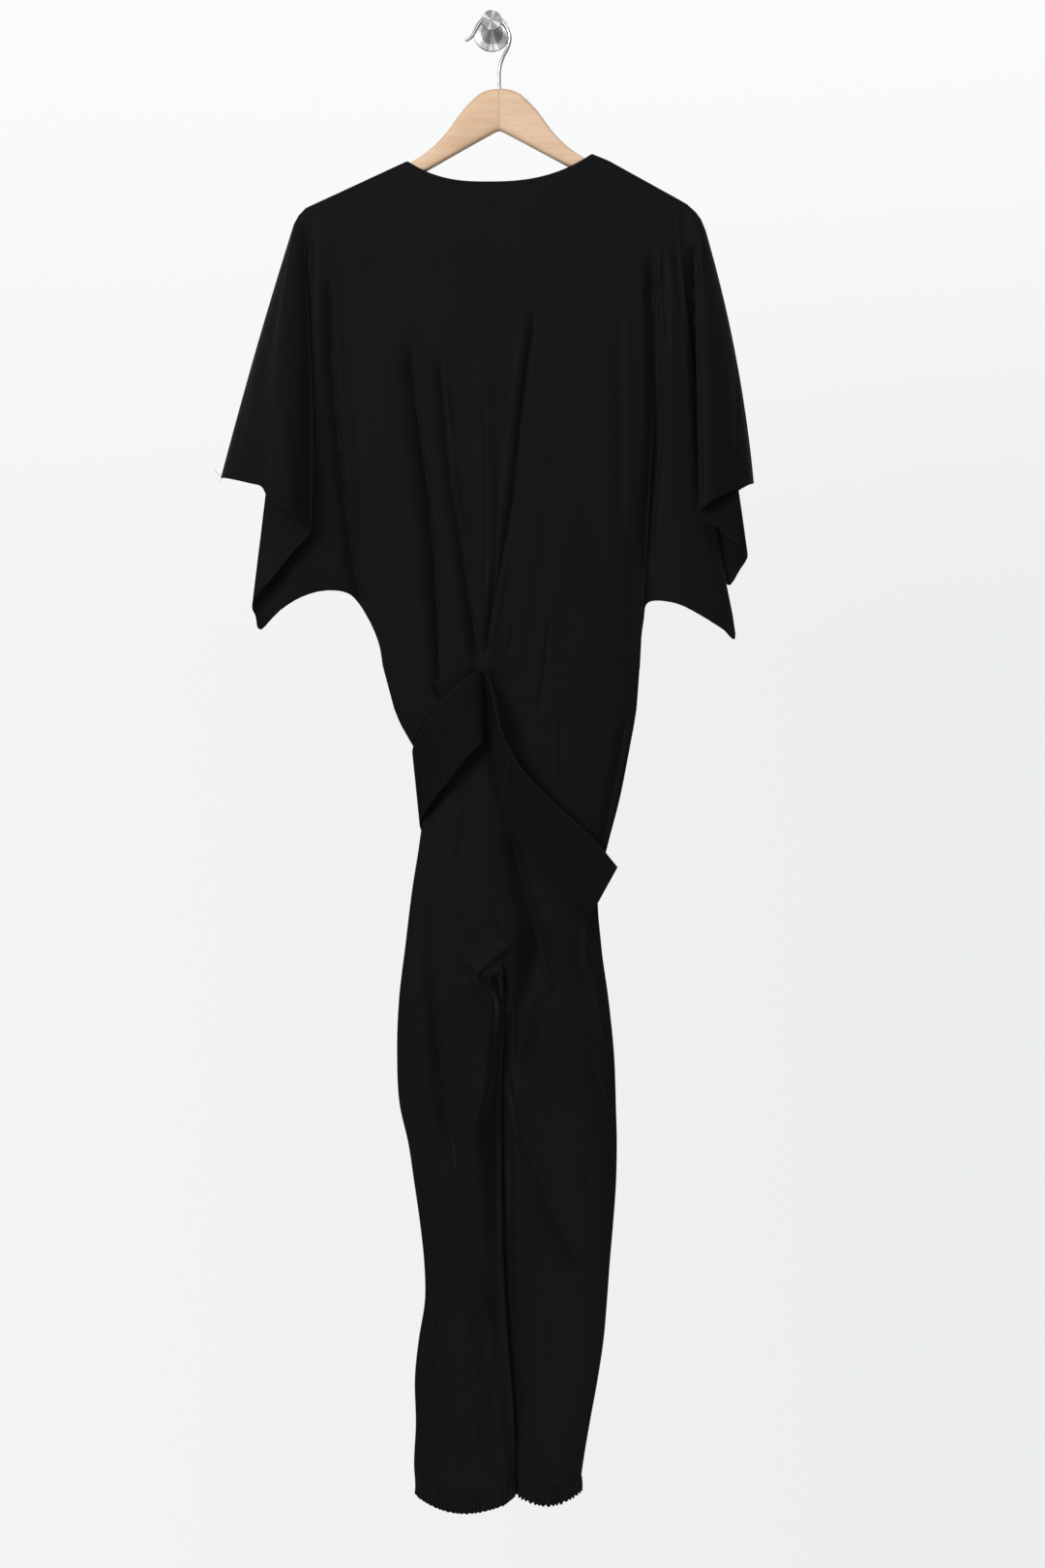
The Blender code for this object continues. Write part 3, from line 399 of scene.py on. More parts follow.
# Painted highlights: bright rays across the disc and the stem, where brushed steel would reflect the
# light.
disc_painted_highlights = fan(75, 90) * 0.6 + fan(146, 40)
stem_painted_highlights = fan(-93, 160) * 0.7 + fan(-74, 120) + fan(20, 14) * 0.4
painted_fans = disc_painted_highlights * in_front + stem_painted_highlights * (1 - in_front)
rings = (from_axis * (2 * math.pi / RING_PITCH)).wave()


def steel_shades(dark, light):
    """The painted highlight rays, with some random wear, between a dark and a light grey of steel."""
    share = (painted_fans + wear * 0.3).between(0.0, 1.0)
    return brushed.mix(share, (dark, dark, dark, 1), (light, light, light, 1))


scratches = brushed.noise(knob_place, 2600.0, 2.0)
wear = brushed.noise(knob_place, 130.0, 2.0)
brushed.to_shader(
    # The front disc takes darker greys than the stem: painted shade.
    Base_Color=brushed.mix(in_front, steel_shades(0.32, 0.85), steel_shades(0.14, 0.6)),
    Roughness=0.42 + scratches * 0.12,
    Normal=brushed.bump(rings * 0.00003 + scratches * 0.00004, 1.0),
)
print("steel nodes:", len(wire_steel.tree.nodes) + len(brushed.tree.nodes))

# %% [markdown]
# ## The garment's measurements
#
# Every panel is drawn from a short table in millimetres, with x across, `drop` below the origin
# and `out` away from the garment's middle plane. A table of a few measured columns or levels is
# easier to correct than a sculpted mesh, and a smooth curve through its rows fills in the rest.

# %% Cloth, seams and curves through a table
CLOTH = 1.1
SEAM_GAP = 0.3
MIDDLE_Y = -34.0
SEAM_OUT = 0.85
RAIL_OUT, RAIL_REACH = 7.65, 5.4
OVER_WOOD = 4.0


def column_of(table, name):
    return np.array([getattr(row, name) for row in table], float)


def through(at, knots, values):
    """A smooth curve through a table's rows, level beyond its ends."""
    knots = np.asarray(knots, float)
    values = np.asarray(values, float)
    slopes = np.gradient(values, knots)
    at = np.clip(np.asarray(at, float), knots[0], knots[-1])
    left = np.clip(np.searchsorted(knots, at, side="right") - 1, 0, len(knots) - 2)
    span = knots[left + 1] - knots[left]
    s = (at - knots[left]) / span
    rise = values[left + 1] - values[left]
    start, end = slopes[left] * span, slopes[left + 1] * span
    curve = 3 * rise - 2 * start - end + s * (start + end - 2 * rise)
    return values[left] + s * (start + s * curve)


def ease(share):
    """0 below 0, 1 above 1 and a soft S between."""
    share = np.clip(share, 0, 1)
    return share * share * (3 - 2 * share)


def quarter_round(distance, reach):
    """The rise of a quarter circle of this reach, from 0 at its edge to 1."""
    share = np.clip(distance / reach, 0, 1)
    return np.sqrt(1 - (1 - share) ** 2)


def quadratic(start, middle, end, t):
    """A parabola through three values at t = 0, 0.5 and 1."""
    return (1 - t) * (1 - 2 * t) * start + 4 * t * (1 - t) * middle + t * (2 * t - 1) * end


def nearest_on(x, drop, line_x, line_drop):
    """Distance from points to a broken line, the side they lie on and how far along it."""
    nearest = np.full(np.broadcast(x, drop).shape, np.inf)
    side, along = np.zeros(nearest.shape), np.zeros(nearest.shape)
    for i in range(len(line_x) - 1):
        run, fall = line_x[i + 1] - line_x[i], line_drop[i + 1] - line_drop[i]
        part = ((x - line_x[i]) * run + (drop - line_drop[i]) * fall) / (run * run + fall * fall)
        part = np.clip(part, 0, 1)
        away_x, away_drop = x - line_x[i] - part * run, drop - line_drop[i] - part * fall
        distance = np.hypot(away_x, away_drop)
        closer = distance < nearest
        nearest = np.where(closer, distance, nearest)
        side = np.where(closer, away_x * fall - away_drop * run, side)
        along = np.where(closer, (i + part) / (len(line_x) - 1), along)
    return nearest, side, along


def placed(x, drop, out, side):
    """Grid points from x, drop and out. Side is 1 for the back pieces and -1 for the front."""
    x, drop, out = np.broadcast_arrays(x, drop, out)
    return np.stack([x, MIDDLE_Y - side * out, -drop], axis=-1)


print("a curve through 0, 1, 4 at 1.5:", float(through(1.5, (0, 1, 2), (0, 1, 4))))

# %% [markdown]
# ### Folds
#
# Hung jersey has two kinds of fold. A soft one swells and sinks like a wave. A crease is a
# V whose sides curve: its long side darkens gradually towards the line, and its short side
# rises at once. A fold is listed as the line that it follows, how far it lifts or sinks the cloth,
# the reach of its left and right side, and how sharp it is. The cloth's height is their sum.

# %% Folds
Fold = namedtuple("Fold", "line rise left right sharp fade", defaults=(0, 0.22))


def relief(x, drop, folds):
    """How far all these folds lift the cloth at the points x, drop."""
    x, drop = np.broadcast_arrays(x, drop)
    lift = np.zeros(x.shape)
    for fold in folds:
        marks = np.array(fold.line, float)
        knots = np.arange(len(marks))
        at = np.linspace(0, len(marks) - 1, 4 * len(marks))
        line_x, line_drop = through(at, knots, marks[:, 0]), through(at, knots, marks[:, 1])
        reach = max(fold.left, fold.right)
        inside = (x > line_x.min() - reach) & (x < line_x.max() + reach)
        inside &= (drop > line_drop.min() - reach) & (drop < line_drop.max() + reach)
        distance, side, along = nearest_on(x[inside], drop[inside], line_x, line_drop)
        share = np.clip(distance / np.where(side < 0, fold.left, fold.right), 0, 1)
        soft, sharp = 0.5 + 0.5 * np.cos(math.pi * share), (1 - share) ** 2
        profile = (1 - fold.sharp) * soft + fold.sharp * sharp
        ends = ease(along / fold.fade) * ease((1 - along) / fold.fade)
        lift[inside] += fold.rise * profile * ends
    return lift


BODICE_FOLDS = (
    # soft swells between the gathers
    Fold(((-124, 330), (-99, 510), (-76, 690)), 2.0, 24, 22),
    Fold(((-99, 320), (-77, 530), (-66, 700), (-60, 735)), 3.0, 22, 12),
    Fold(((-62, 320), (-41, 530), (-23, 745)), 2.4, 16, 12),
    Fold(((-6, 330), (-7, 520), (-8, 740)), 1.6, 14, 14),
    Fold(((45, 290), (20, 510), (-7, 735)), 2.4, 14, 11),
    Fold(((66, 400), (44, 560), (19, 745)), 0.8, 16, 16),
    Fold(((99, 450), (76, 590), (48, 745)), 0.8, 16, 20),
    Fold(((141, 250), (142, 450), (140, 650)), 1.6, 30, 20),
    # creases that darken from the left and end sharply
    Fold(
        ((-177, 272), (-175, 339), (-171, 400), (-165, 473), (-157, 545), (-147, 612),
         (-141, 640)),
        -7.5, 13, 7, 0.45, 0.1,
    ),
    Fold(
        ((-90, 345), (-84, 406), (-75, 473), (-66, 539), (-61, 606), (-58, 679), (-55, 748)),
        -9.0, 22, 5, 0.85, 0.1,
    ),
    Fold(
        ((-58, 350), (-52, 424), (-45, 497), (-36, 557), (-27, 618), (-20, 660), (-13, 708)),
        -7.5, 15, 5, 0.85, 0.1,
    ),
    Fold(((11, 440), (4, 594), (-6, 695)), -1.8, 6, 4, 0.7),
    Fold(((-9, 360), (-6, 497), (-8, 680)), -1.4, 6, 4, 0.7),
    Fold(
        ((48, 309), (40, 376), (32, 436), (25, 509), (13, 582), (1, 648), (-7, 700)),
        -7.0, 12, 5, 0.8, 0.1,
    ),
    Fold(((25, 650), (21, 680), (16, 702)), -1.6, 5, 4, 0.8),
    Fold(((66, 640), (58, 710), (53, 752)), -2.4, 8, 3.5, 0.9),
    Fold(((142, 300), (142, 430), (143, 569)), -3.2, 18, 8, 0.8),
    Fold(
        ((176, 236), (178, 315), (179, 376), (181, 460), (176, 527), (171, 606)),
        -13.0, 15, 8, 0.4, 0.16,
    ),
    Fold(((187, 254), (189, 310), (193, 364)), -2.8, 7, 7, 0.8),
    Fold(((200, 225), (206, 291), (217, 345), (223, 385)), -2.6, 9, 8, 0.7),
    # pockets beside the belt
    Fold(((-2, 700), (8, 742), (26, 800)), -7.0, 5, 40, 0.2, 0.3),
    Fold(((-70, 712), (-58, 730), (-54, 746)), -4.0, 8, 6, 0.5, 0.35),
)
SLEEVE_FOLDS = (
    Fold(((-240, 300), (-258, 400), (-266, 500)), 1.6, 10, 12),
    Fold(((-219, 420), (-218, 480), (-214, 560)), 1.2, 8, 9),
    # left sleeve: the cloth sinks as it nears the inner fold
    Fold(((-198, 225), (-194, 330), (-191, 420), (-191, 545)), -4.0, 11, 6, 0.5, 0.08),
    # right sleeve: the lower layer sinks as it nears the inner fold, and a faint crease outside
    Fold(((222, 236), (223.5, 330), (224.5, 430), (226, 555)), -8.0, 15, 5, 0.7, 0.1),
    Fold(((266, 356), (267, 430), (264, 500)), -1.6, 8, 4, 0.8),
    Fold(((243, 300), (247, 400), (246, 530)), -1.0, 10, 12),
)
LEG_FOLDS = (
    # soft hollows and swells
    Fold(((-67, 800), (-73, 960), (-56, 1110)), -3.0, 24, 28),
    Fold(((-56, 1060), (-56, 1210), (-62, 1300)), -4.0, 24, 26),
    Fold(((20, 850), (38, 950), (62, 1050)), -4.0, 20, 24),
    Fold(((50, 975), (40, 1070), (18, 1175)), -14.0, 26, 26),
    Fold(((146, 735), (134, 815), (112, 920)), 3.0, 22, 16),
    Fold(((10, 1140), (28, 1205), (66, 1300)), 3.0, 22, 18),
    Fold(((110, 960), (103, 1060), (136, 1240)), -3.0, 24, 20),
    Fold(((34, 1260), (76, 1330), (104, 1400)), 2.0, 22, 20),
    Fold(((60, 1380), (50, 1480), (56, 1640)), 3.0, 18, 18),
    # left leg: long outer crease from the belt to below the knee
    Fold(
        ((-67, 848), (-69, 930), (-69, 1000), (-64, 1060), (-57, 1122), (-51, 1180),
         (-44, 1225), (-39, 1272)),
        -8.0, 17, 7, 0.6, 0.07,
    ),
    Fold(((-99, 1176), (-82, 1205), (-72, 1240), (-64, 1286), (-58, 1330)), -6.0, 14, 4, 0.9, 0.2),
    # left leg: a ridge from the crotch to the knee, where it turns back, its right side in shade
    Fold(
        ((14, 1104), (2, 1147), (-24, 1210), (-37, 1242), (-44, 1281), (-58, 1331),
         (-38, 1357), (-16, 1387), (-4, 1404), (3, 1430)),
        9.0, 16, 24, 0.7, 0.1,
    ),
    # left leg: the pinched star at the back of the knee
    Fold(((-57, 1330), (-49, 1296), (-40, 1278)), 1.2, 8, 8, 0.6, 0.35),
    Fold(((-57, 1331), (-44, 1322), (-31, 1319)), -1.8, 9, 6, 0.7, 0.4),
    Fold(((-62, 1334), (-63, 1392), (-60, 1442), (-64, 1468), (-74, 1496)), -6.0, 12, 5, 0.8, 0.16),
    Fold(((-51, 1340), (-49, 1365), (-49, 1390)), -1.6, 6, 4, 0.8, 0.3),
    Fold(
        ((-32, 1382), (-21, 1417), (-11, 1468), (-6, 1493), (-11, 1538), (-27, 1590)),
        -4.2, 8, 14, 0.7, 0.2,
    ),
    Fold(((-69, 1518), (-62, 1556), (-64, 1592)), -1.8, 6, 4, 0.8),
    Fold(((-27, 1512), (-30, 1552), (-34, 1600)), -2.0, 6, 4, 0.8),
    # seat: hollow under the belt, darkest at its right side
    Fold(
        ((21, 880), (28, 915), (35, 943), (42, 970), (49, 1007), (56, 1040), (66, 1072)),
        -10.5, 30, 11, 0.7, 0.1,
    ),
    Fold(((-36, 818), (-27, 846), (-32, 892), (-39, 924), (-43, 961)), -2.4, 10, 9, 0.4),
    Fold(((-25, 962), (-30, 985)), -1.0, 5, 5, 0.5),
    # crotch: a beaked ridge with a hollow to its right
    Fold(((5, 985), (12, 996), (20, 1006)), -3.0, 6, 3, 0.8, 0.3),
    Fold(((24, 1005), (2, 1023), (-20, 1041)), 6.0, 26, 5, 0.6, 0.14),
    Fold(((-20, 1037), (-1, 1065), (15, 1097)), 7.5, 26, 6, 0.6, 0.12),
    Fold(((-9, 1040), (0, 1050), (8, 1066)), -6.0, 12, 12, 0.2, 0.35),
    Fold(((5, 1036), (8, 1060), (13, 1088)), -13.0, 9, 10, 0.2, 0.25),
    Fold(((18, 1094), (23, 1122), (14, 1160)), 1.6, 6, 9, 0.6),
    # right leg: creases that leave the crotch and cross the thigh
    Fold(
        ((18, 1160), (20, 1185), (28, 1222), (42, 1260), (64, 1311), (82, 1346), (94, 1374)),
        -9.0, 22, 10, 0.7, 0.16,
    ),
    Fold(((15, 1157), (25, 1167), (39, 1174), (49, 1187), (37, 1220)), -2.0, 5, 6, 0.8, 0.2),
    Fold(((84, 1118), (92, 1150), (100, 1172)), -2.0, 7, 4, 0.9),
    Fold(((106, 972), (102, 1016), (113, 1053), (122, 1099), (136, 1142)), 6.5, 8, 16, 0.8, 0.08),
    Fold(((107, 1129), (122, 1175), (135, 1216)), -2.4, 8, 4, 0.9),
    Fold(((118, 1234), (104, 1262), (114, 1294), (118, 1322)), -1.4, 6, 6, 0.7),
    Fold(((99, 1560), (93, 1596)), -2.2, 6, 4, 0.8),
    # right hip: the fold at the side seam and two thin lines from the waist
    Fold(((148, 760), (141, 804), (132, 846), (125, 887), (118, 914)), -11.0, 11, 6, 0.6, 0.1),
    Fold(((76, 752), (76, 800), (76, 850)), -2.0, 5, 3.5, 0.8),
    Fold(((55, 740), (52, 752), (53, 778)), -1.6, 5, 3, 0.9),
)
FRONT_FOLDS = (
    Fold(((-80, 330), (-60, 520), (-40, 745)), 2.5, 24, 20),
    Fold(((70, 330), (60, 520), (40, 745)), 2.5, 20, 24),
    Fold(((-140, 300), (-128, 450), (-100, 640)), -3.0, 20, 8, 0.9),
    Fold(((-30, 340), (-22, 520), (-6, 700)), -3.0, 14, 6, 0.9),
    Fold(((30, 320), (26, 500), (20, 700)), -3.0, 6, 14, 0.9),
    Fold(((130, 280), (136, 430), (132, 640)), -3.0, 8, 20, 0.9),
    Fold(((-60, 800), (-66, 980), (-52, 1250)), -4.0, 22, 24),
    Fold(((70, 820), (66, 1000), (84, 1260)), -4.0, 24, 22),
    Fold(((10, 1060), (-16, 1160), (-44, 1330)), 4.0, 18, 20),
    Fold(((22, 1120), (48, 1220), (76, 1380)), 4.0, 18, 18),
    Fold(((-40, 1340), (-52, 1460), (-44, 1620)), -3.0, 16, 16),
    Fold(((80, 1400), (62, 1500), (58, 1620)), -3.0, 16, 16),
    Fold(((-30, 1100), (-60, 1190), (-84, 1250)), -3.0, 14, 6, 0.9),
    Fold(((40, 1090), (80, 1180), (118, 1240)), -3.0, 6, 14, 0.9),
    Fold(((-70, 1330), (-50, 1400), (-20, 1470)), -2.6, 10, 6, 0.9),
    Fold(((110, 1320), (80, 1400), (50, 1460)), -2.6, 6, 10, 0.9),
)

print("folds:", sum(map(len, (BODICE_FOLDS, SLEEVE_FOLDS, LEG_FOLDS, FRONT_FOLDS))))

# %% [markdown]
# ### From points to cloth
#
# A panel starts as a flat grid, which brings a tidy UV map along. Its corners are then moved to
# their places on the garment, and a Solidify modifier gives the cloth its wall. A modifier is
# right for the wall because it keeps the thickness even round every fold.

# %% Cloth from a grid


def cloth(name, points, finish, thickness=CLOTH, ring=False):
    """A panel through rows of points in millimetres, top row first and left to right."""
    rows, columns = points.shape[:2]
    bpy.ops.object.select_all(action="DESELECT")
    size = {"x_subdivisions": columns - 1, "y_subdivisions": rows - 1, "size": 1}
    bpy.ops.mesh.primitive_grid_add(calc_uvs=True, **size)
    panel = bpy.context.object
    panel.name = panel.data.name = name
    flat = np.empty(3 * rows * columns)
    panel.data.vertices.foreach_get("co", flat)
    flat = flat.reshape(-1, 3)
    column = np.rint((flat[:, 0] + 0.5) * (columns - 1)).astype(int)
    row = np.rint((0.5 - flat[:, 1]) * (rows - 1)).astype(int)
    panel.data.vertices.foreach_set("co", (points[row, column] * MM).ravel())
    panel.data.update()
    if ring:
        bpy.ops.object.mode_set(mode="EDIT")
        bpy.ops.mesh.select_all(action="SELECT")
        bpy.ops.mesh.remove_doubles(threshold=0.00001)
        bpy.ops.object.mode_set(mode="OBJECT")
    bpy.ops.object.modifier_add(type="SOLIDIFY")
    wall = panel.modifiers["Solidify"]
    wall.thickness, wall.offset = thickness * MM, 0
    bpy.ops.object.modifier_apply(modifier="Solidify")
    bpy.ops.object.shade_smooth_by_angle(angle=math.radians(70))
    panel.data.materials.append(finish.material)
    return panel


def area_of(panel):
    """One side of a cloth shell, in square metres."""
    return sum(face.area for face in panel.data.polygons) / 2


def finer(values, steps):
    """A table's column with steps more points between its rows, on a smooth curve."""
    knots = np.arange(len(values))
    return through(np.linspace(0, len(values) - 1, (len(values) - 1) * steps + 1), knots, values)


COARSE = 1
print("points are thinned by", COARSE)

# %% [markdown]
# ## Bodice
#
# The back is cut in one with two batwing sleeves. It hangs from the hanger's arms, and the
# spare width of each sleeve doubles over: it runs out to a front ridge, back to an inner fold,
# out again behind and down to the underarm seam. Each column of the table follows the cloth
# from the shoulder to one point of that winding hem. Between the sleeves, the columns draw
# together at the belt, where the real cloth is gathered into the belt's stitches.

# %% Shoulders and neck
SHOULDER_LEFT, SHOULDER_RIGHT = (-93.0, 152.0), (111.0, 144.0)
TIP_LEFT, TIP_RIGHT = (-216.0, 221.0), (234.0, 227.0)
NECK_LOW, FRONT_NECK_DROP, NECK_ROUND, NECK_BLEND = (-5.0, 175.5), 262.0, 2.6, 14.0
WAIST_LEFT, WAIST_RIGHT = -118.0, 162.0
WAIST_DROP, WAIST_SAG, WAIST_DEPTH = 700.0, 7.0, 13.0
CHEST_OUT, NECK_OUT = 14.0, 7.65
HANGER_APEX, HANGER_TILT, HANGER_HALF_SPAN = (8.6, 71.3), 0.0155, 209.0
SHOULDER_RUN_LEFT = ((-216, 221), (-211, 211.5), (-203, 203), SHOULDER_LEFT)
SHOULDER_RUN_RIGHT = (
    SHOULDER_RIGHT, (128, 151), (203, 192.5), (214, 199), (223, 207), (229, 215), (234, 227)
)
YOKE_RUN = ((-166, 185), (SHOULDER_LEFT[0], 152), (0, 140), (SHOULDER_RIGHT[0], 144), (186, 183))

Arm = namedtuple("Arm", "across top")
ARM_TOP = (
    Arm(0, 0), Arm(11, 1.2), Arm(21, 5), Arm(32, 14.5), Arm(44, 28), Arm(55, 44), Arm(66, 57),
    Arm(80, 69.5), Arm(96, 79.5), Arm(122, 92), Arm(150, 105), Arm(178, 120), Arm(194, 130.5),
    Arm(204, 141), Arm(HANGER_HALF_SPAN, 150.5),
)


def arm_top_drop(x):
    """Drop of the wood's upper edge."""
    across = x - HANGER_APEX[0]
    fall = through(np.abs(across), column_of(ARM_TOP, "across"), column_of(ARM_TOP, "top"))
    return HANGER_APEX[1] + fall - HANGER_TILT * across


def shoulder_drop(x):
    """Drop of the line where back and front meet along the hanger's arms."""
    left, right = (np.interp(x, *zip(*run)) for run in (SHOULDER_RUN_LEFT, SHOULDER_RUN_RIGHT))
    return np.where(np.asarray(x) < 0, left, right)


def neck_drop(x, low):
    """Drop of a neckline that is lowest near the middle and ends on both shoulders."""
    on_left, away = x < NECK_LOW[0], np.abs(x - NECK_LOW[0])
    reach = np.where(on_left, NECK_LOW[0] - SHOULDER_LEFT[0], SHOULDER_RIGHT[0] - NECK_LOW[0])
    end = np.where(on_left, SHOULDER_LEFT[1], SHOULDER_RIGHT[1])
    return low - (low - end) * np.clip(away / reach, 0, 1) ** NECK_ROUND


def top_drop(x, neck_low):
    on_neck = (x > SHOULDER_LEFT[0]) & (x < SHOULDER_RIGHT[0])
    return np.where(on_neck, neck_drop(x, neck_low), shoulder_drop(x))


def rail_drop(x):
    """Where the cloth starts to fall away over the wood."""
    in_from_left, in_from_right = x - SHOULDER_LEFT[0], SHOULDER_RIGHT[0] - x
    corner = np.where(in_from_left < in_from_right, SHOULDER_LEFT[1], SHOULDER_RIGHT[1])
    inwards = ease(np.minimum(in_from_left, in_from_right) / NECK_BLEND)
    on_neck = (1 - inwards) * corner + inwards * (arm_top_drop(x) - OVER_WOOD)
    return np.where((in_from_left > 0) & (in_from_right > 0), on_neck, shoulder_drop(x))


def yoke_drop(x):
    """A smooth line from shoulder to shoulder, a little above the neckline."""
    return through(x, *zip(*YOKE_RUN))


def from_waist_middle(x):
    """0 at the middle of the waist and 1 at its side seams and beyond."""
    half = (WAIST_RIGHT - WAIST_LEFT) / 2
    return np.clip(np.abs(x - (WAIST_LEFT + WAIST_RIGHT) / 2) / half, 0, 1)


def waist_drop(x):
    return WAIST_DROP + WAIST_SAG * from_waist_middle(x) ** 6


def waist_out(x):
    return SEAM_OUT + WAIST_DEPTH * (1 - from_waist_middle(x) ** 5)


print("shoulder at x = 0.15 m drops", round(float(shoulder_drop(150)), 1), "mm")

# %% Sleeve and body columns
# A column of a sleeve runs from the shoulder to a point of the hem, the underarm seam or the
# side seam. The hem of each sleeve doubles back on itself, so x returns between the two folds.
Column = namedtuple("Column", "x_end drop_end bow out_middle out_end")
LEFT_SLEEVE = (
    Column(-296, 498, -2, SEAM_OUT, SEAM_OUT),  # overarm seam
    Column(-292, 499, -1, 6, 7),
    Column(-279, 503, 0, 20, 24),
    Column(-260, 509, 0, 34, 41),
    Column(-246, 514, -2, 41, 50),
    Column(-238, 527, -4.5, 46, 56),  # front ridge
    Column(-222, 537, -3, 45, 55),
    Column(-209, 549, 2.5, 41, 50),
    Column(-200, 556, 5.5, 30, 36),
    Column(-196, 560, 6.5, 23, 28),  # inner fold
    Column(-200, 566, 5.5, 21.8, 26.5),
    Column(-219, 586, 0, 20.5, 25),
    Column(-238, 610, -3, 19.5, 23),
    Column(-256, 629, -3, 17.5, 19.5),
    Column(-260, 641, 0, 15, 15),  # outer fold
    Column(-257, 650, 1, 13, 10.5),
    Column(-253, 664, 2, 12.5, 5),  # tip of the underarm seam
    Column(-232, 643, 3, 15, 8),
    Column(-208, 628, 4, 19, 10),
    Column(-181, 621, 5, 17, 9),
    Column(-154, 626, 5, 15, 6),  # underarm
    Column(-135, 652, 3, 13, SEAM_OUT),
    Column(-123, 680, 1, 13, SEAM_OUT),
    Column(WAIST_LEFT, WAIST_DROP + WAIST_SAG, 0, 13, SEAM_OUT),
)
RIGHT_SLEEVE = (
    Column(287, 504, 7, SEAM_OUT, SEAM_OUT),  # overarm seam
    Column(283, 505, 6, 6, 7),
    Column(272, 511, 4, 20, 24),
    Column(258, 518, 2, 33, 40),
    Column(243, 525, 1, 40, 49),
    Column(230, 534, -1, 40, 48),
    Column(225, 539, -1.5, 36, 43.5),  # inner fold
    Column(229, 545, -0.5, 32, 38.5),
    Column(241, 553, 0, 30, 35.5),
    Column(257, 565, 3, 28, 33),
    Column(273, 578, 3, 25.5, 30),
    Column(278, 586, 3, 21, 25),  # outer fold
    Column(272, 598, 1, 12, 5),
    Column(258, 615, -6, 5, -6),
    Column(244.5, 566, -11, 11, 12),
    Column(267, 669, -9, 13, SEAM_OUT),  # tip of the underarm seam
    Column(250, 661, -5, 14, 7),
    Column(229, 648, -4, 14, 8),
    Column(202, 635, -3, 15, 7),
    Column(172, 634, -2, 12, SEAM_OUT),  # underarm
    Column(166, 657, -1, 12, SEAM_OUT),
    Column(163, 682, 0, 13, SEAM_OUT),
    Column(WAIST_RIGHT, WAIST_DROP + WAIST_SAG, 0, 13, SEAM_OUT),
)
# The front of each sleeve hangs more simply, between the same seams.
LEFT_SLEEVE_FRONT = (
    Column(-296, 498, -2, SEAM_OUT, SEAM_OUT),  # overarm seam
    Column(-291, 496, -1, 6, 7),
    Column(-274, 496, 0, 13, 15),
    Column(-255, 501, 0, 18, 20),
    Column(-243, 512, -1, 16, 17),
    Column(-235, 560, 5, 17, 20),
    Column(-242, 618, 13, 15, 16),
    Column(-249, 646, 16, 12, 9),
    Column(-253, 664, 16, 12, SEAM_OUT),  # tip of the underarm seam
    Column(-232, 643, 12, 13, SEAM_OUT),
    Column(-208, 628, 9, 14, SEAM_OUT),
    Column(-181, 621, 8, 12, SEAM_OUT),
    Column(-154, 626, 6, 14, SEAM_OUT),  # underarm
    Column(-135, 652, 3, 13, SEAM_OUT),
    Column(-123, 680, 1, 13, SEAM_OUT),
    Column(WAIST_LEFT, WAIST_DROP + WAIST_SAG, 0, 13, SEAM_OUT),
)
RIGHT_SLEEVE_FRONT = (
    Column(287, 504, 7, SEAM_OUT, SEAM_OUT),  # overarm seam
    Column(281, 505, 6, 6, 7),
    Column(268, 512, 4, 14, 17),
    Column(252, 521, 2, 18, 22),
    Column(239, 538, -2, 16, 18),
    Column(236, 578, -10, 17, 20),
    Column(246, 622, -21, 14, 16),
    Column(267, 669, -31, 12, SEAM_OUT),  # tip of the underarm seam
    Column(250, 661, -24, 14, SEAM_OUT),
    Column(229, 648, -17, 12, SEAM_OUT),
    Column(202, 635, -9, 14, SEAM_OUT),
    Column(172, 634, -3, 12, SEAM_OUT),  # underarm
    Column(166, 657, -1, 12, SEAM_OUT),
    Column(163, 682, 0, 13, SEAM_OUT),
    Column(WAIST_RIGHT, WAIST_DROP + WAIST_SAG, 0, 13, SEAM_OUT),
)
SLEEVE_TOP_LEFT, SLEEVE_TOP_RIGHT = -166.0, 186.0

# Between the sleeves, columns run from the shoulders and the neck to the waist seam. On the
# back they draw together where the belt is sewn on, as its gathers do.
Line = namedtuple("Line", "x_top x_waist")
LINES_BACK = (
    Line(-160, -112), Line(-152, -102), Line(-143, -88), Line(-130, -74), Line(-117, -63),
    Line(-105, -54), Line(-93, -42), Line(-92, -40.5), Line(-90, -38), Line(-85, -33),
    Line(-75, -26), Line(-60, -20), Line(-43, -15.5), Line(-25, -12), Line(-5, -8.5),
    Line(15, -6), Line(34, -4), Line(50, -1), Line(64, 4), Line(78, 11), Line(91, 20),
    Line(103, 28), Line(108, 32), Line(110, 34), Line(111, 36), Line(122, 43), Line(135, 51),
    Line(147, 63), Line(158, 82), Line(168, 106), Line(176, 130), Line(182, 150),
)
LINES_FRONT = (
    Line(-160, -112), Line(-146, -101), Line(-120, -83), Line(-93, -64), Line(-92, -62),
    Line(-90, -58), Line(-85, -52), Line(-75, -43), Line(-50, -25), Line(-22, -5), Line(8, 17),
    Line(38, 40), Line(66, 62), Line(93, 84), Line(103, 93), Line(108, 100), Line(110, 105),
    Line(111, 109), Line(136, 129), Line(161, 146), Line(176, 156),
)

print("columns on the back:", len(LEFT_SLEEVE) + len(LINES_BACK) + len(RIGHT_SLEEVE))

# %% Bodice panels
ROWS_NEAR_TOP = (0, 0.002, 0.0045, 0.0075, 0.0115, 0.017, 0.024, 0.034, 0.047, 0.062)
ROWS_NEAR_END = (0.988, 0.9925, 0.996, 0.9985, 1)
SEAM_DIP, SEAM_DIP_REACH = 0.4, 1.3
FOLDS_FROM, FOLDS_GROW, BODY_BLEND = 0.02, 0.2, 2
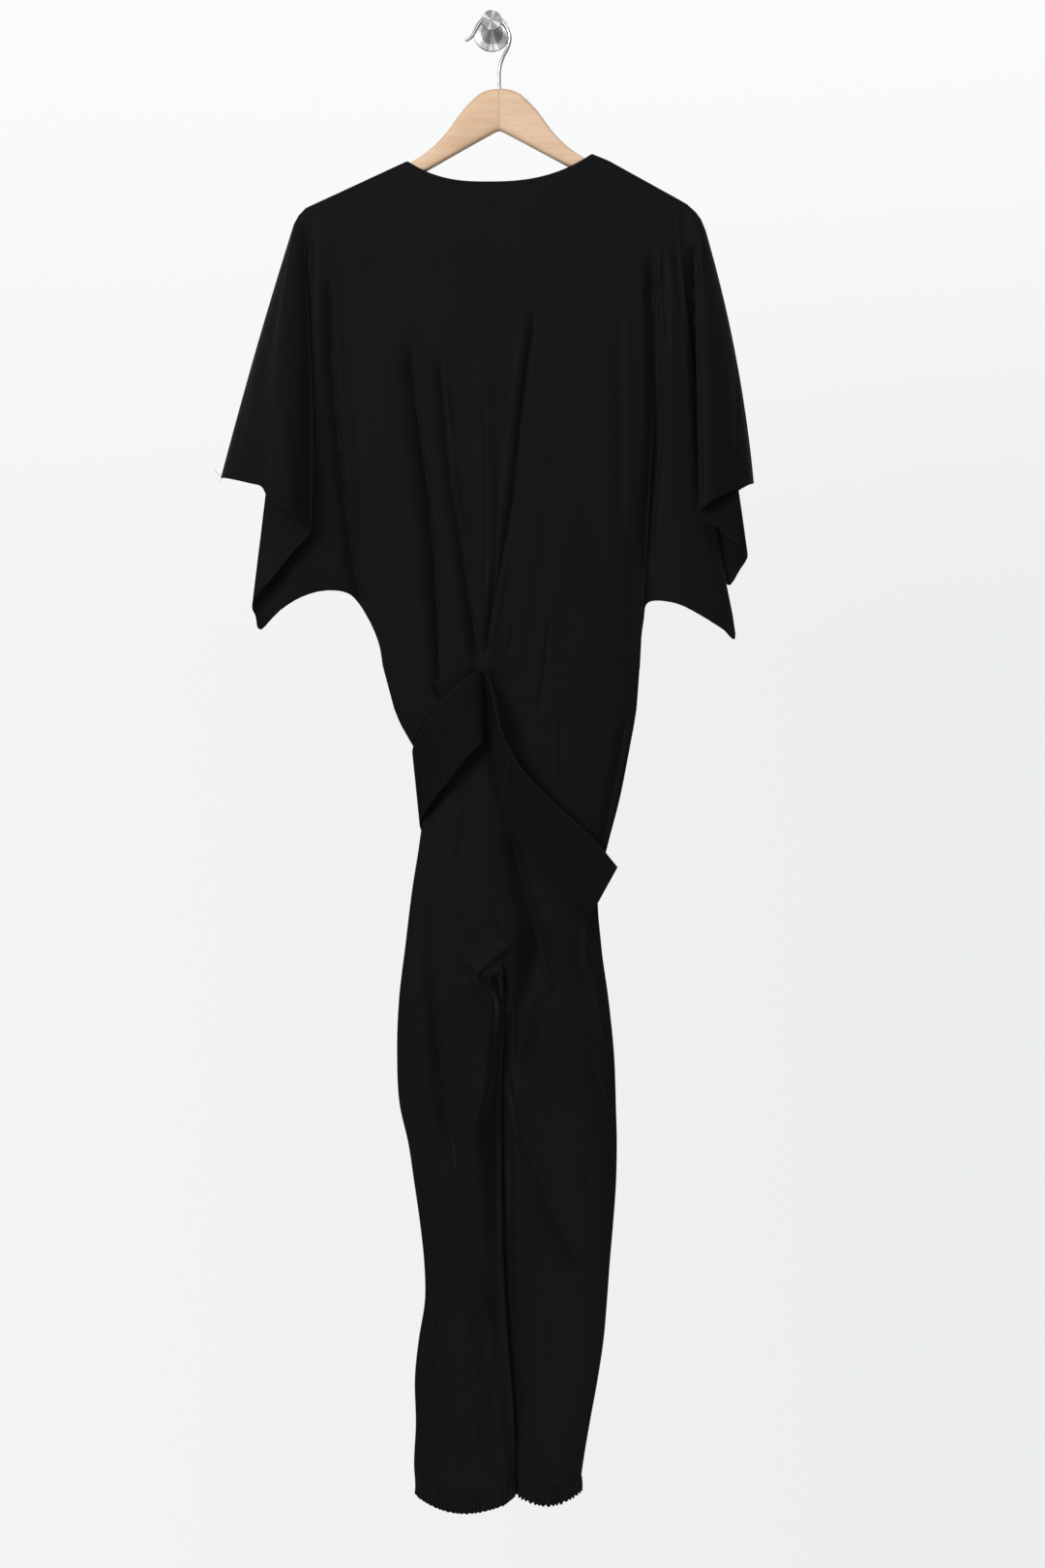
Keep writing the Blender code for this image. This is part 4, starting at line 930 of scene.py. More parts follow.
# Each sleeve's outer end, its inner end and how its columns crowd together, back and front
SLEEVE_TOPS = (
    (TIP_LEFT, SLEEVE_TOP_LEFT, {1: 2.2, -1: 1.15}),
    (TIP_RIGHT, SLEEVE_TOP_RIGHT, {1: 1.15, -1: 1.15}),
)
# The first column beyond each sleeve's folds, on the back and on the front
BODY_FROM = {1: (16, 15), -1: (11, 10)}


def sleeve_points(table, sleeve_top, side, body_from, t, steps):
    """Columns that fan from the shoulder to the hem and the underarm, outermost first."""
    tip, inner_x, spread = sleeve_top
    last = len(table) - 1
    # Columns stand twice as close on the body side, where creases cross them at a low angle.
    at = np.linspace(0, body_from, steps * body_from + 1)
    at = np.concatenate([at, np.linspace(body_from, last, 2 * steps * (last - body_from) + 1)[1:]])
    knots = np.arange(last + 1)
    fine = {name: through(at, knots, column_of(table, name)) for name in Column._fields}
    top_x = tip[0] + (inner_x - tip[0]) * (at / last) ** spread[side]
    top = shoulder_drop(top_x)
    x = (1 - t) * top_x + t * fine["x_end"] + 4 * t * (1 - t) * fine["bow"]
    drop = (1 - t) * top + t * fine["drop_end"]
    out = quadratic(RAIL_OUT, fine["out_middle"], fine["out_end"], t)
    on_body = ease((at - body_from) / BODY_BLEND)
    seam_x = np.concatenate([top_x[::-1], x[1:, 0]])
    seam_drop = np.concatenate([top[::-1], drop[1:, 0]])
    from_seam = nearest_on(x, drop, seam_x[::2], seam_drop[::2])[0]
    return x, drop, out, on_body * np.ones_like(x), from_seam


def bodice(name, side, neck_low, sleeves, lines, folds, steps, sleeve_steps, rows):
    """Back or front of the bodice, cut in one with its sleeves."""
    t = np.concatenate([ROWS_NEAR_TOP, np.linspace(0.08, 0.98, rows), ROWS_NEAR_END])[:, None]
    left, right = (
        sleeve_points(table, sleeve_top, side, body_from, t, sleeve_steps)
        for table, sleeve_top, body_from in zip(sleeves, SLEEVE_TOPS, BODY_FROM[side])
    )

    top_x, end_x = (finer(column_of(lines, name), steps) for name in ("x_top", "x_waist"))
    x = (1 - t) * top_x + t * end_x
    drop = (1 - t) * top_drop(top_x, neck_low) + t * (waist_drop(end_x) - SEAM_GAP / 2)
    # The chest swells from one smooth line across the shoulders, not from the kinked neckline.
    from_line = (drop - yoke_drop(x)) / (waist_drop(end_x) - yoke_drop(x))
    out = quadratic(NECK_OUT, CHEST_OUT, waist_out(end_x), np.clip(from_line, 0, 1))
    body = (x, drop, out, np.ones_like(x), drop - rail_drop(x))

    parts = [np.concatenate([a, b, c[:, ::-1]], axis=1) for a, b, c in zip(left, body, right)]
    x, drop, out, on_body, from_rail = parts
    for _ in range(2 * steps):
        out[:, 1:-1] = 0.25 * out[:, :-2] + 0.5 * out[:, 1:-1] + 0.25 * out[:, 2:]
    down = ease((t - FOLDS_FROM) / FOLDS_GROW)
    out = out + relief(x, drop, folds) * on_body * down
    if side > 0:
        out = out + relief(x, drop, SLEEVE_FOLDS) * (1 - on_body)
    # The cloth dips into the waist seam.
    to_seam = waist_drop(x) - drop
    out = out - SEAM_DIP * np.exp(-((to_seam / SEAM_DIP_REACH) ** 2)) * (on_body > 0.9)
    out = SEAM_OUT + (out - SEAM_OUT) * quarter_round(from_rail, RAIL_REACH)
    return cloth(name, placed(x, drop, out, side), jersey)


back_size = {"steps": 7 // COARSE, "sleeve_steps": 4, "rows": 88 // COARSE}
back_tables = ((LEFT_SLEEVE, RIGHT_SLEEVE), LINES_BACK, BODICE_FOLDS)
back = bodice("back_bodice_cloth", 1, NECK_LOW[1], *back_tables, **back_size)
front_size = {"steps": 4 // COARSE, "sleeve_steps": 3, "rows": 60 // COARSE}
front_tables = ((LEFT_SLEEVE_FRONT, RIGHT_SLEEVE_FRONT), LINES_FRONT, FRONT_FOLDS)
front = bodice("front_bodice_cloth", -1, FRONT_NECK_DROP, *front_tables, **front_size)
print("back bodice:", round(area_of(back), 3), "m2, front bodice:", round(area_of(front), 3), "m2")

# %% [markdown]
# ## Waistband
#
# A straight band is set between bodice and trousers. Its two halves meet at the side seams, and
# its long seams pull the cloth in a little, so both edges dip.

# %% Waistband halves
WAISTBAND_HEIGHT = 41.5

# Outlines of the trousers, from the waistband down
Level = namedtuple("Level", "drop outer_left outer_right depth_back depth_front rounding")
LEVELS = (
    Level(749, -107, 159, 13.0, 13.0, 140),
    Level(768, -99, 156, 13.5, 13.3, 138),
    Level(784, -90, 153, 14.0, 13.5, 135),
    Level(800, -81, 150, 15.0, 14.0, 130),
    Level(850, -74, 140, 16.5, 14.5, 120),
    Level(900, -79, 127, 18.0, 15.0, 110),
    Level(945, -86, 117, 19.0, 15.5, 105),
    Level(1010, -94, 120, 20.0, 16.0, 100),
    Level(1070, -101, 128, 21.0, 16.5, 95),
    Level(1130, -103, 134, 22.0, 17.0, 90),
    Level(1185, -100, 136, 22.5, 17.0, 90),
    Level(1225, -91, 137, 23.0, 17.0, 90),
    Level(1270, -84, 136, 23.0, 17.0, 90),
    Level(1310, -78, 133, 22.5, 17.0, 90),
    Level(1355, -73, 129, 22.0, 17.0, 90),
    Level(1395, -72, 126, 22.0, 17.0, 90),
    Level(1440, -79, 122, 22.0, 16.5, 85),
    Level(1480, -83, 116, 21.0, 16.0, 80),
    Level(1530, -82, 107, 19.5, 15.5, 75),
    Level(1580, -84, 99, 18.0, 15.0, 65),
    Level(1625, -79, 94, 17.0, 15.0, 55),
)


def waistband(name, side, lines, folds, steps, rows):
    rise = np.concatenate([[0, 0.02, 0.05], np.linspace(0.09, 0.91, rows), [0.95, 0.98, 1]])[:, None]
    at_waist = finer(column_of(lines, "x_waist"), steps)
    ends = np.linspace(0, 1, steps + 1)[1:-1]
    left = WAIST_LEFT + (at_waist[0] - WAIST_LEFT) * ends
    right = at_waist[-1] + (WAIST_RIGHT - at_waist[-1]) * ends
    top_x = np.concatenate([[WAIST_LEFT], left, at_waist, right, [WAIST_RIGHT]])
    share = (top_x - WAIST_LEFT) / (WAIST_RIGHT - WAIST_LEFT)
    low_x = LEVELS[0].outer_left + (LEVELS[0].outer_right - LEVELS[0].outer_left) * share
    x = (1 - rise) * top_x + rise * low_x
    drop = waist_drop(top_x) + SEAM_GAP / 2 + rise * (WAISTBAND_HEIGHT - SEAM_GAP)
    middle = (x[:, :1] + x[:, -1:]) / 2
    sides = 1 - (np.abs(x - middle) / (middle - x[:, :1])) ** 5
    out = SEAM_OUT + (WAIST_DEPTH + relief(x, drop, folds)) * sides
    to_seam = np.minimum(rise, 1 - rise) * WAISTBAND_HEIGHT
    out = out - SEAM_DIP * np.exp(-((to_seam / SEAM_DIP_REACH) ** 2)) * np.minimum(sides * 2, 1)
    return cloth(name, placed(x, drop, out, side), jersey)


back_band = waistband("back_waistband_cloth", 1, LINES_BACK, BODICE_FOLDS, 8 // COARSE, 14)
front_band = waistband("front_waistband_cloth", -1, LINES_FRONT, FRONT_FOLDS, 6 // COARSE, 8)
print("waistband halves:", round(area_of(back_band), 4), "and", round(area_of(front_band), 4), "m2")

# %% [markdown]
# ## Trousers
#
# Each leg has a back and a front panel. Their outline comes from a table of levels, and the
# section is a flat oval that closes towards both seams. Below the crotch the left leg hangs a
# few millimetres nearer to us than the right one, and the hem of each leg is gathered into an
# elastic casing, whose gathers run up into the leg and fade out.

# %% Trouser sections
CROTCH_DROP, CROTCH_ROLL = 1088.0, 45.0
FRONT_SEAM_SHIFT, LEG_STAGGER, STAGGER_FROM, STAGGER_REACH = 6.0, 6.0, 1020.0, 24.0
HEM_OPENS = (1480.0, 1590.0)
INNER_FLAT, STAGGER_WIDTH, ROLL_POWER = 4.5, 45.0, 0.7
# How wide each leg's wall turns in beside the other leg,
# and how far their touching edges come forward
Roll = namedtuple("Roll", "drop left right forward")
ROLLS = (
    Roll(1060, 8, 8, 0), Roll(1092, 12, 11, 0), Roll(1124, 16, 13, 0), Roll(1150, 19, 15, 0),
    Roll(1250, 25, 17, 0), Roll(1340, 26, 14, 8), Roll(1450, 22, 14, 11), Roll(1540, 17, 12, 9),
    Roll(1594, 12, 12, 4),
)

Seam = namedtuple("Seam", "drop left_leg right_leg")
INNER_SEAMS = (
    Seam(742, -2, -2), Seam(870, 0, 0), Seam(960, 3, 3), Seam(1018, 10, 10),
    Seam(1034, 12, 11.5), Seam(1052, 13, 10.5), Seam(1100, 14, 9), Seam(1160, 11, 7),
    Seam(1280, 11, 8), Seam(1370, 13, 10), Seam(1450, 18, 15.5), Seam(1530, 24.5, 21.5),
    Seam(1594, 25, 23), Seam(1625, 21, 27),
)

# Gathers are counted on one side of an ankle, from seam to seam.
Ankle = namedtuple("Ankle", "hem_drop sag gathers")
LEFT_ANKLE = Ankle(1594, 16, 26)
RIGHT_ANKLE = Ankle(1590, 11, 19)


def at_drop(table, name, drop):
    """A column of a table whose rows are listed by their drop."""
    return through(drop, column_of(table, "drop"), column_of(table, name))


def level(name, drop):
    return at_drop(LEVELS, name, drop)


def inner_x(drop, leg, side):
    seam = at_drop(INNER_SEAMS, leg + "_leg", drop)
    # Above the crotch the front's middle seam lies a little to one side of the back's.
    above = 1 - ease((drop - CROTCH_DROP + CROTCH_ROLL) / CROTCH_ROLL)
    return seam + (FRONT_SEAM_SHIFT * above if side < 0 else 0)


def leg_out(x, drop, leg, side, folds):
    """How far a leg's wall lies from the middle plane."""
    outer = level("outer_" + leg, drop)
    from_outer = np.abs(x - outer)
    from_inner = np.abs(x - inner_x(drop, leg, side))
    rounding = level("rounding", drop)
    profile = 1 - (1 - np.clip(from_outer / rounding, 0, 1)) ** 5
    closing = ease((drop - CROTCH_DROP + CROTCH_ROLL) / CROTCH_ROLL)
    flat = INNER_FLAT * (1 - ease((drop - HEM_OPENS[0]) / (HEM_OPENS[1] - HEM_OPENS[0])))
    roll = at_drop(ROLLS, leg, drop)
    profile = profile * (1 - closing * (1 - ease((from_inner - flat) / roll) ** ROLL_POWER))
    depth = level("depth_back" if side > 0 else "depth_front", drop)
    depth = depth + relief(x, drop, folds)
    # The cloth dips into the middle seam above the crotch.
    dip = SEAM_DIP * np.exp(-((from_inner / SEAM_DIP_REACH) ** 2)) * (1 - closing)
    stagger = LEG_STAGGER * ease((drop - STAGGER_FROM) / STAGGER_REACH)
    stagger = stagger * (1 - ease(from_inner / STAGGER_WIDTH))
    towards_room = stagger if leg == "left" else -stagger
    towards_room += closing * (1 - profile) * at_drop(ROLLS, "forward", drop)
    return SEAM_OUT + depth * profile - dip + side * towards_room


def hem_drop(x, ankle, outer, inner):
    share = np.clip((x - outer) / (inner - outer), 0, 1)
    return ankle.hem_drop + ankle.sag * np.sin(math.pi * share)


def ankle_ends(ankle, leg, side):
    return level("outer_" + leg, ankle.hem_drop), inner_x(ankle.hem_drop, leg, side)


def uneven_wave(turns):
    """A wave that swells and shrinks as hand-fed gathers do."""
    uneven = 1 + 0.28 * np.sin(turns * 2.1 + 0.7) + 0.2 * np.sin(turns * 0.83 + 2.0)
    return np.cos(2 * math.pi * (turns + 0.16 * np.sin(turns * 1.7))) * uneven


KNEE_DROP = 1225
knee = (float(level("outer_left", KNEE_DROP)), float(inner_x(KNEE_DROP, "left", 1)))
print("left leg at the knee:", knee, "mm")

# %% Leg panels
GATHER_DEPTH, GATHER_FADES = 0.95, 13.0
LEG_TOP, LEG_END, TOP_BLEND = 742, 1594.0, 0.3
LEG_ROWS_NEAR_TOP = (0, 0.001, 0.0025, 0.0045)


def leg_panel(name, leg, side, ankle, folds, columns, rows):
    share = np.linspace(0, 1, columns)
    # Columns stand closer together near both seams, where the wall turns.
    share = 0.5 - 0.5 * np.cos(math.pi * share) * (0.82 + 0.18 * np.cos(math.pi * share) ** 2)
    outer_end, inner_end = ankle_ends(ankle, leg, side)
    hem = hem_drop(outer_end + (inner_end - outer_end) * share, ankle, outer_end, inner_end)
    first = LEVELS[0]
    waist_x = level("outer_" + leg, first.drop) * (1 - share)
    waist_x = waist_x + inner_x(first.drop, leg, side) * share
    band_share = (waist_x - first.outer_left) / (first.outer_right - first.outer_left)
    top = waist_drop(WAIST_LEFT + (WAIST_RIGHT - WAIST_LEFT) * band_share)
    top = top + WAISTBAND_HEIGHT + SEAM_GAP / 2
    fall = np.concatenate([LEG_ROWS_NEAR_TOP, np.linspace(0.0065, 1, rows)])[:, None]
    drops = LEG_TOP + (LEG_END - LEG_TOP) * fall
    drop = drops + (top - LEG_TOP) * ease(1 - fall / TOP_BLEND)
    drop += (hem - LEG_END) * ease(fall * 2.5 - 1.5)
    outer = level("outer_" + leg, drop)
    inner = inner_x(drop, leg, side) + (SEAM_GAP / 2 if leg == "right" else -SEAM_GAP / 2)
    x = outer + (inner - outer) * share
    out = leg_out(x, drop, leg, side, folds)
    from_top = (drop - drop[:1]) * np.ones_like(x)
    dip = SEAM_DIP * np.exp(-((from_top / SEAM_DIP_REACH) ** 2))
    out = out - dip * np.minimum((out - SEAM_OUT) / 6, 1)
    step = np.hypot(np.diff(x[-1]), np.diff(out[-1]))
    round_hem = np.concatenate([[0], np.cumsum(step)])
    turns = round_hem / round_hem[-1] * ankle.gathers
    fade = np.exp(-np.maximum(drop[-1:] - drop, 0) / GATHER_FADES)
    fade = fade * quarter_round(np.minimum(share, 1 - share), 0.1)
    out = out + GATHER_DEPTH * uneven_wave(turns) * fade
    points = placed(x, drop, out, side)
    return cloth(name, points if leg == "left" else points[:, ::-1], jersey)


BACK_FOLDS = BODICE_FOLDS + LEG_FOLDS
ANKLES = (("left", LEFT_ANKLE), ("right", RIGHT_ANKLE))
# Which face, its side and folds, and how many columns and rows it has
PANELS = (("back", 1, BACK_FOLDS, 104, 330), ("front", -1, FRONT_FOLDS, 50, 90))
legs = [
    leg_panel(f"{face}_{leg}_leg_cloth", leg, side, ankle, folds, columns // COARSE, rows // COARSE)
    for leg, ankle in ANKLES
    for face, side, folds, columns, rows in PANELS
]
print("leg panels:", [round(area_of(panel), 3) for panel in legs], "m2")

# %% [markdown]
# ### Ankle casings
#
# The elastic sits in a narrow casing below both panels. It is one ring of small gathers, deeper
# at its lower edge, where nothing holds the cloth down. Its upper edge turns in under the leg.

# %% Casings
CASING_HEIGHT, CASING_GAP, CASING_PUFF = 16.0, 0.5, 0.55
CASING_ROUND, CASING_END_DEPTH, CASING_END_REACH, CASING_LEAN_REACH = 10.0, 7.0, 4, 40
LIP_REACH, LIP_LEAST, LIP_DROP = 1.2, 0.4, 0.35
GATHERS_TOP, GATHERS_RIPPLE = 0.62, 0.9


def ankle_casing(name, leg, ankle):
    share = 0.5 - 0.5 * np.cos(np.linspace(0, math.pi, 90))
    halves = []
    for side, folds in ((1, BACK_FOLDS), (-1, FRONT_FOLDS)):
        outer, inner = ankle_ends(ankle, leg, side)
        x = outer + (inner - outer) * share
        drop = hem_drop(x, ankle, outer, inner)
        out = leg_out(x, drop, leg, side, folds)
        end = np.minimum(np.abs(x - outer), np.abs(x - inner))
        centre = out[-1] - SEAM_OUT if side > 0 else SEAM_OUT - out[-1]
        centre = centre * ease(1 - np.abs(x - inner) / CASING_LEAN_REACH)
        least = side * centre + CASING_END_DEPTH * quarter_round(end, CASING_ROUND)
        half = placed(x, drop, np.maximum(out * ease(end / CASING_END_REACH), least), side)
        lip = placed(x, drop + LIP_DROP, np.maximum(out - LIP_REACH, LIP_LEAST), side)
        half = np.concatenate([half, lip], axis=1)
        halves.append(half[:-1] if side > 0 else half[:0:-1])
    ring = np.concatenate(halves)
    along = np.linalg.norm((np.roll(ring, -1, axis=0) - ring)[:, :3], axis=1)
    along = np.concatenate([[0], np.cumsum(along)])
    ring = np.concatenate([ring, ring[:1]])
    count = 2 * ankle.gathers * 9 // COARSE
    at = np.arange(count) / count * along[-1]
    ring = np.stack([np.interp(at, along, column) for column in ring.T], axis=1)
    ring, lip = ring[:, :3], ring[:, 3:]
    tangent = np.roll(ring, -1, axis=0) - np.roll(ring, 1, axis=0)
    outward = np.stack([-tangent[:, 1], tangent[:, 0], np.zeros(len(ring))], axis=1)
    outward /= np.linalg.norm(outward, axis=1)[:, None]
    wave = uneven_wave(np.arange(count) / count * 2 * ankle.gathers)[:, None]
    lip[:, 2] -= CASING_GAP
    rows = [lip]
    for rise in np.linspace(0, 1, 9):
        puff = CASING_PUFF * math.sin(math.pi * rise)
        depth = GATHERS_TOP + (1 - GATHERS_TOP) * rise
        row = ring + outward * (GATHER_DEPTH * wave * depth + puff)
        row[:, 2] = ring[:, 2] - CASING_GAP - rise * CASING_HEIGHT
        row[:, 2] -= GATHERS_RIPPLE * rise * wave[:, 0]
        rows.append(row)
    rows = np.array(rows)
    rows = np.concatenate([rows, rows[:, :1]], axis=1)
    faces_out = outward[0, 0] * (ring[0, 0] - ring[:, 0].mean()) > 0
    return cloth(name, rows if faces_out else rows[:, ::-1], jersey, ring=True)


casings = [ankle_casing(f"{leg}_ankle_casing_cloth", leg, ankle) for leg, ankle in ANKLES]
print("casings:", [round(area_of(panel), 4) for panel in casings], "m2")

# %% [markdown]
# ## Belt
#
# Two stretches of wide elastic are sewn into one point of the back waist seam. The left one
# wraps round the hip to the front, and the right one hangs free, stands off the cloth and
# swings down to its stitched end. Each is listed as stations along its two edges.

# %% Belt stretches
BELT_THICK, BELT_CUP = 1.8, 1.2

Station = namedtuple("Station", "x_up drop_up out_up x_low drop_low out_low")
BELT_LEFT = (
    Station(-7, 709, 17, -5, 783, 18),
    Station(-17, 712, 26, -12, 789, 30),
    Station(-37, 727, 27, -25, 803, 31),
    Station(-56, 748, 23, -41, 823, 27.5),
    Station(-71, 768, 17.5, -56, 842, 21.5),
    Station(-82, 786, 9.5, -71, 862, 12.5),
    Station(-86, 799, -1, -78, 876, 0),
    Station(-81, 813, -12, -73, 890, -12),
    Station(-66, 832, -19.5, -58, 908, -19),
    Station(-38, 862, -22.5, -34, 936, -22.5),
    Station(-6, 896, -23.5, -4, 968, -23.5),
)
BELT_RIGHT = (
    Station(-8, 711, 17.8, 0, 772, 19.0),
    Station(-2, 722, 24.4, 0, 782, 21.0),
    Station(3, 740, 36, 0, 798, 23),
    Station(7, 760, 45, 0, 818, 25),
    Station(15, 784, 48, 6, 842, 26.5),
    Station(35, 818, 46, 16, 872, 27.5),
    Station(67, 852, 40, 39, 903, 28),
    Station(108, 889, 34, 71, 938, 28),
    Station(137, 923, 29, 108, 976, 26),
)


def cup(share):
    """Woven elastic cups a little between its edges."""
    return BELT_CUP * (1 - (2 * share - 1) ** 2)


def belt_stretch(name, stations, count, across):
    at = np.linspace(0, len(stations) - 1, count)
    knots = np.arange(len(stations))
    edge = {field: through(at, knots, column_of(stations, field)) for field in Station._fields}
    up = placed(edge["x_up"], edge["drop_up"], edge["out_up"], 1)
    low = placed(edge["x_low"], edge["drop_low"], edge["out_low"], 1)
    share = np.linspace(0, 1, across)[:, None, None]
    strip = (1 - share) * up + share * low
    strip[..., 1] += cup(share[..., 0])
    return cloth(name, strip, elastic, BELT_THICK)


belt_left = belt_stretch("belt_left_strip", BELT_LEFT, 120 // COARSE, 30 // COARSE)
belt_right = belt_stretch("belt_right_strip", BELT_RIGHT, 120 // COARSE, 30 // COARSE)
print("belt stretches:", round(area_of(belt_left), 4), "and", round(area_of(belt_right), 4), "m2")

# %% [markdown]
# ## Stitches and thread ends
#
# The free stretch of the belt is crossed by a row of stitches where its end is turned back, and
# two cut threads stand out at the left sleeve's raw corner. Each stitch is a short bead of thread.
# One is modelled from a sphere and copied along the row, each copy with its own mesh, and the
# row is joined, because nobody will ever move a stitch by itself.

# %% Stitches across the belt


def on_belt(at, share):
    """A point of the free stretch, in metres: at counts its stations, share runs across it."""
    knots = np.arange(len(BELT_RIGHT))
    up, low = (
        np.array([through(at, knots, column_of(BELT_RIGHT, field)) for field in fields])
        for fields in (("x_up", "drop_up", "out_up"), ("x_low", "drop_low", "out_low"))
    )
    x, drop, out = (1 - share) * up + share * low
    return np.array([x, MIDDLE_Y - out + cup(share) - BELT_THICK / 2, -drop]) * MM


seam_thread = Finish("black thread", Metallic=0.0, Roughness=0.8, Specular_IOR_Level=0.05)
ply = seam_thread.noise(seam_thread.place(), 2500.0)
seam_thread.to_shader(
    Base_Color=seam_thread.mix(ply, (0.008, 0.008, 0.0083, 1), (0.013, 0.013, 0.0135, 1))
)
STITCH_STATION, STITCH_LEAN, STITCH_MARGIN, STITCHES = 4.35, 0.12, 0.06, 20
STITCH_RADIUS, STITCH_SLIM, STITCH_LONG = 0.6, 0.75, 0.9


def stitch(start, end):
    bpy.ops.object.select_all(action="DESELECT")
    bpy.ops.mesh.primitive_uv_sphere_add(segments=8, ring_count=6, radius=STITCH_RADIUS * MM)
    bead = bpy.context.object
    run = bead.location.copy()
    run[:] = end - start
    bpy.ops.object.mode_set(mode="EDIT")
    bpy.ops.transform.resize(value=(STITCH_SLIM, STITCH_SLIM, run.length / MM * STITCH_LONG))
    bpy.ops.object.mode_set(mode="OBJECT")
    bead.rotation_mode = "QUATERNION"
    bead.rotation_quaternion = run.to_track_quat("Z", "Y")
    bead.location = (start + end) / 2
    bpy.ops.object.transform_apply(location=True, rotation=True, scale=True)
    bead.data.materials.append(seam_thread.material)
    return bead


shares = np.linspace(STITCH_MARGIN, 1 - STITCH_MARGIN, STITCHES + 1)
marks = [on_belt(STITCH_STATION + STITCH_LEAN * share, share) for share in shares]
beads = [stitch(start, end) for start, end in zip(marks, marks[1:])]
bpy.ops.object.select_all(action="DESELECT")
for bead in beads:
    bead.select_set(True)
bpy.context.view_layer.objects.active = beads[0]
bpy.ops.object.join()
belt_stitches = bpy.context.object
belt_stitches.name = belt_stitches.data.name = "belt_cross_stitches"
bpy.ops.object.shade_smooth()
print("stitches:", STITCHES, "over", round(belt_stitches.dimensions.length / MM), "mm")

# %% [markdown]
# A thread end is a hair-thin tube along a few points. A curve with a round bevel makes it in one
# step, and it is turned into a mesh so that it can be placed and exported as any other piece.

# %% Thread ends


def turn_faces_out():
    bpy.ops.mesh.select_all(action="SELECT")
    bpy.ops.mesh.normals_make_consistent(inside=False)
    bpy.ops.object.mode_set(mode="OBJECT")


def tube(name, points, radius, finish, sides=2):
    """A round wire or thread along points in millimetres."""
    bpy.ops.object.select_all(action="DESELECT")
    bpy.ops.curve.primitive_nurbs_path_add(radius=1, location=(0, 0, 0))
    line = bpy.context.object
    line.data.splines.clear()
    spline = line.data.splines.new("POLY")
    spline.points.add(len(points) - 1)
    for point, place in zip(spline.points, points):
        point.co = (*(np.array(place) * MM), 1)
    line.data.bevel_depth = radius * MM
    line.data.bevel_resolution = sides
    line.data.use_fill_caps = True
    bpy.ops.object.convert(target="MESH")
    made = bpy.context.object
    made.name = made.data.name = name
    bpy.ops.object.mode_set(mode="EDIT")
    bpy.ops.mesh.select_all(action="SELECT")
    bpy.ops.mesh.remove_doubles(threshold=0.000001)
    turn_faces_out()
    bpy.ops.object.shade_smooth_by_angle(angle=math.radians(50))
    made.data.materials.append(finish.material)
    return made


thread = Finish("grey thread", Metallic=0.0, Roughness=0.7)
twist = thread.noise(thread.place(), 3000.0)
thread.to_shader(Base_Color=thread.mix(twist, (0.2, 0.19, 0.18, 1), (0.42, 0.4, 0.38, 1)))
THREAD_RADIUS = 0.22
THREADS = {
    "overarm_thread_a": (
        (-295, -35, -496), (-297.5, -37, -495), (-300.5, -39, -492.5), (-302.5, -40, -489.5)
    ),
    "overarm_thread_b": ((-294, -35.5, -497), (-295.5, -38, -499.5), (-296, -40, -502.5)),
}
threads = [tube(name, points, THREAD_RADIUS, thread) for name, points in THREADS.items()]
print("thread ends:", len(threads))

# %% [markdown]
# ## Hanger
#
# The wooden part is two sawn arms with rounded edges that swell towards the middle. It could be
# carved from a box, but its section changes smoothly from tip to tip, so it is drawn as a ring
# that is extruded, moved and resized at each station. A Subdivision Surface then rounds it, and
# a Boolean drills the hole for the hook.

# %% Wooden arms
HANGER_THICK = 13.0
UNDERSIDE_START, UNDERSIDE_SLOPE = 46.0, 0.544
SECTION_POINTS, SECTION_SQUARENESS = 16, 0.55
TIP_REACH, TIP_HEIGHT, TIP_THICK, CAP_INSET = 14, 0.62, 0.55, 0.4
# Stations between those of the upper edge, so that the wood stays smooth
BETWEEN = (5.5, 16, 26.5, 38, 49.5, 60.5, 73, 88, 109, 136, 164, 186, 199)


def arm_station(across):
    """Centre, height and thickness of the wood at a distance from the apex, in millimetres."""
    top = float(through(abs(across), column_of(ARM_TOP, "across"), column_of(ARM_TOP, "top")))
    under = UNDERSIDE_START + UNDERSIDE_SLOPE * abs(across)
    close = float(ease((HANGER_HALF_SPAN - abs(across)) / TIP_REACH))
    drop = HANGER_APEX[1] + (top + under) / 2 - HANGER_TILT * across
    height = (under - top) * (TIP_HEIGHT + (1 - TIP_HEIGHT) * close)
    return HANGER_APEX[0] + across, drop, height, HANGER_THICK * (TIP_THICK + (1 - TIP_THICK) * close)


half = sorted({row.across for row in ARM_TOP} | set(BETWEEN))
stations = [arm_station(across) for across in [-place for place in half[:0:-1]] + half]

bpy.ops.object.select_all(action="DESELECT")
across_x = (0, math.radians(90), 0)
bpy.ops.mesh.primitive_circle_add(vertices=SECTION_POINTS, radius=1, rotation=across_x)
bpy.ops.object.transform_apply(location=True, rotation=True, scale=True)
arms = bpy.context.object
arms.name = arms.data.name = "hanger_arms"
x, drop, height, thick = stations[0]
for corner in arms.data.vertices:
    # A round ring is squared, so that the board keeps flat faces between round edges.
    y, z = corner.co.y, corner.co.z
    corner.co.y = math.copysign(abs(y) ** SECTION_SQUARENESS, y) * thick / 2 * MM
    corner.co.z = math.copysign(abs(z) ** SECTION_SQUARENESS, z) * height / 2 * MM
bpy.ops.object.mode_set(mode="EDIT")
bpy.ops.mesh.select_all(action="SELECT")
bpy.ops.transform.translate(value=(x * MM, MIDDLE_Y * MM, -drop * MM))
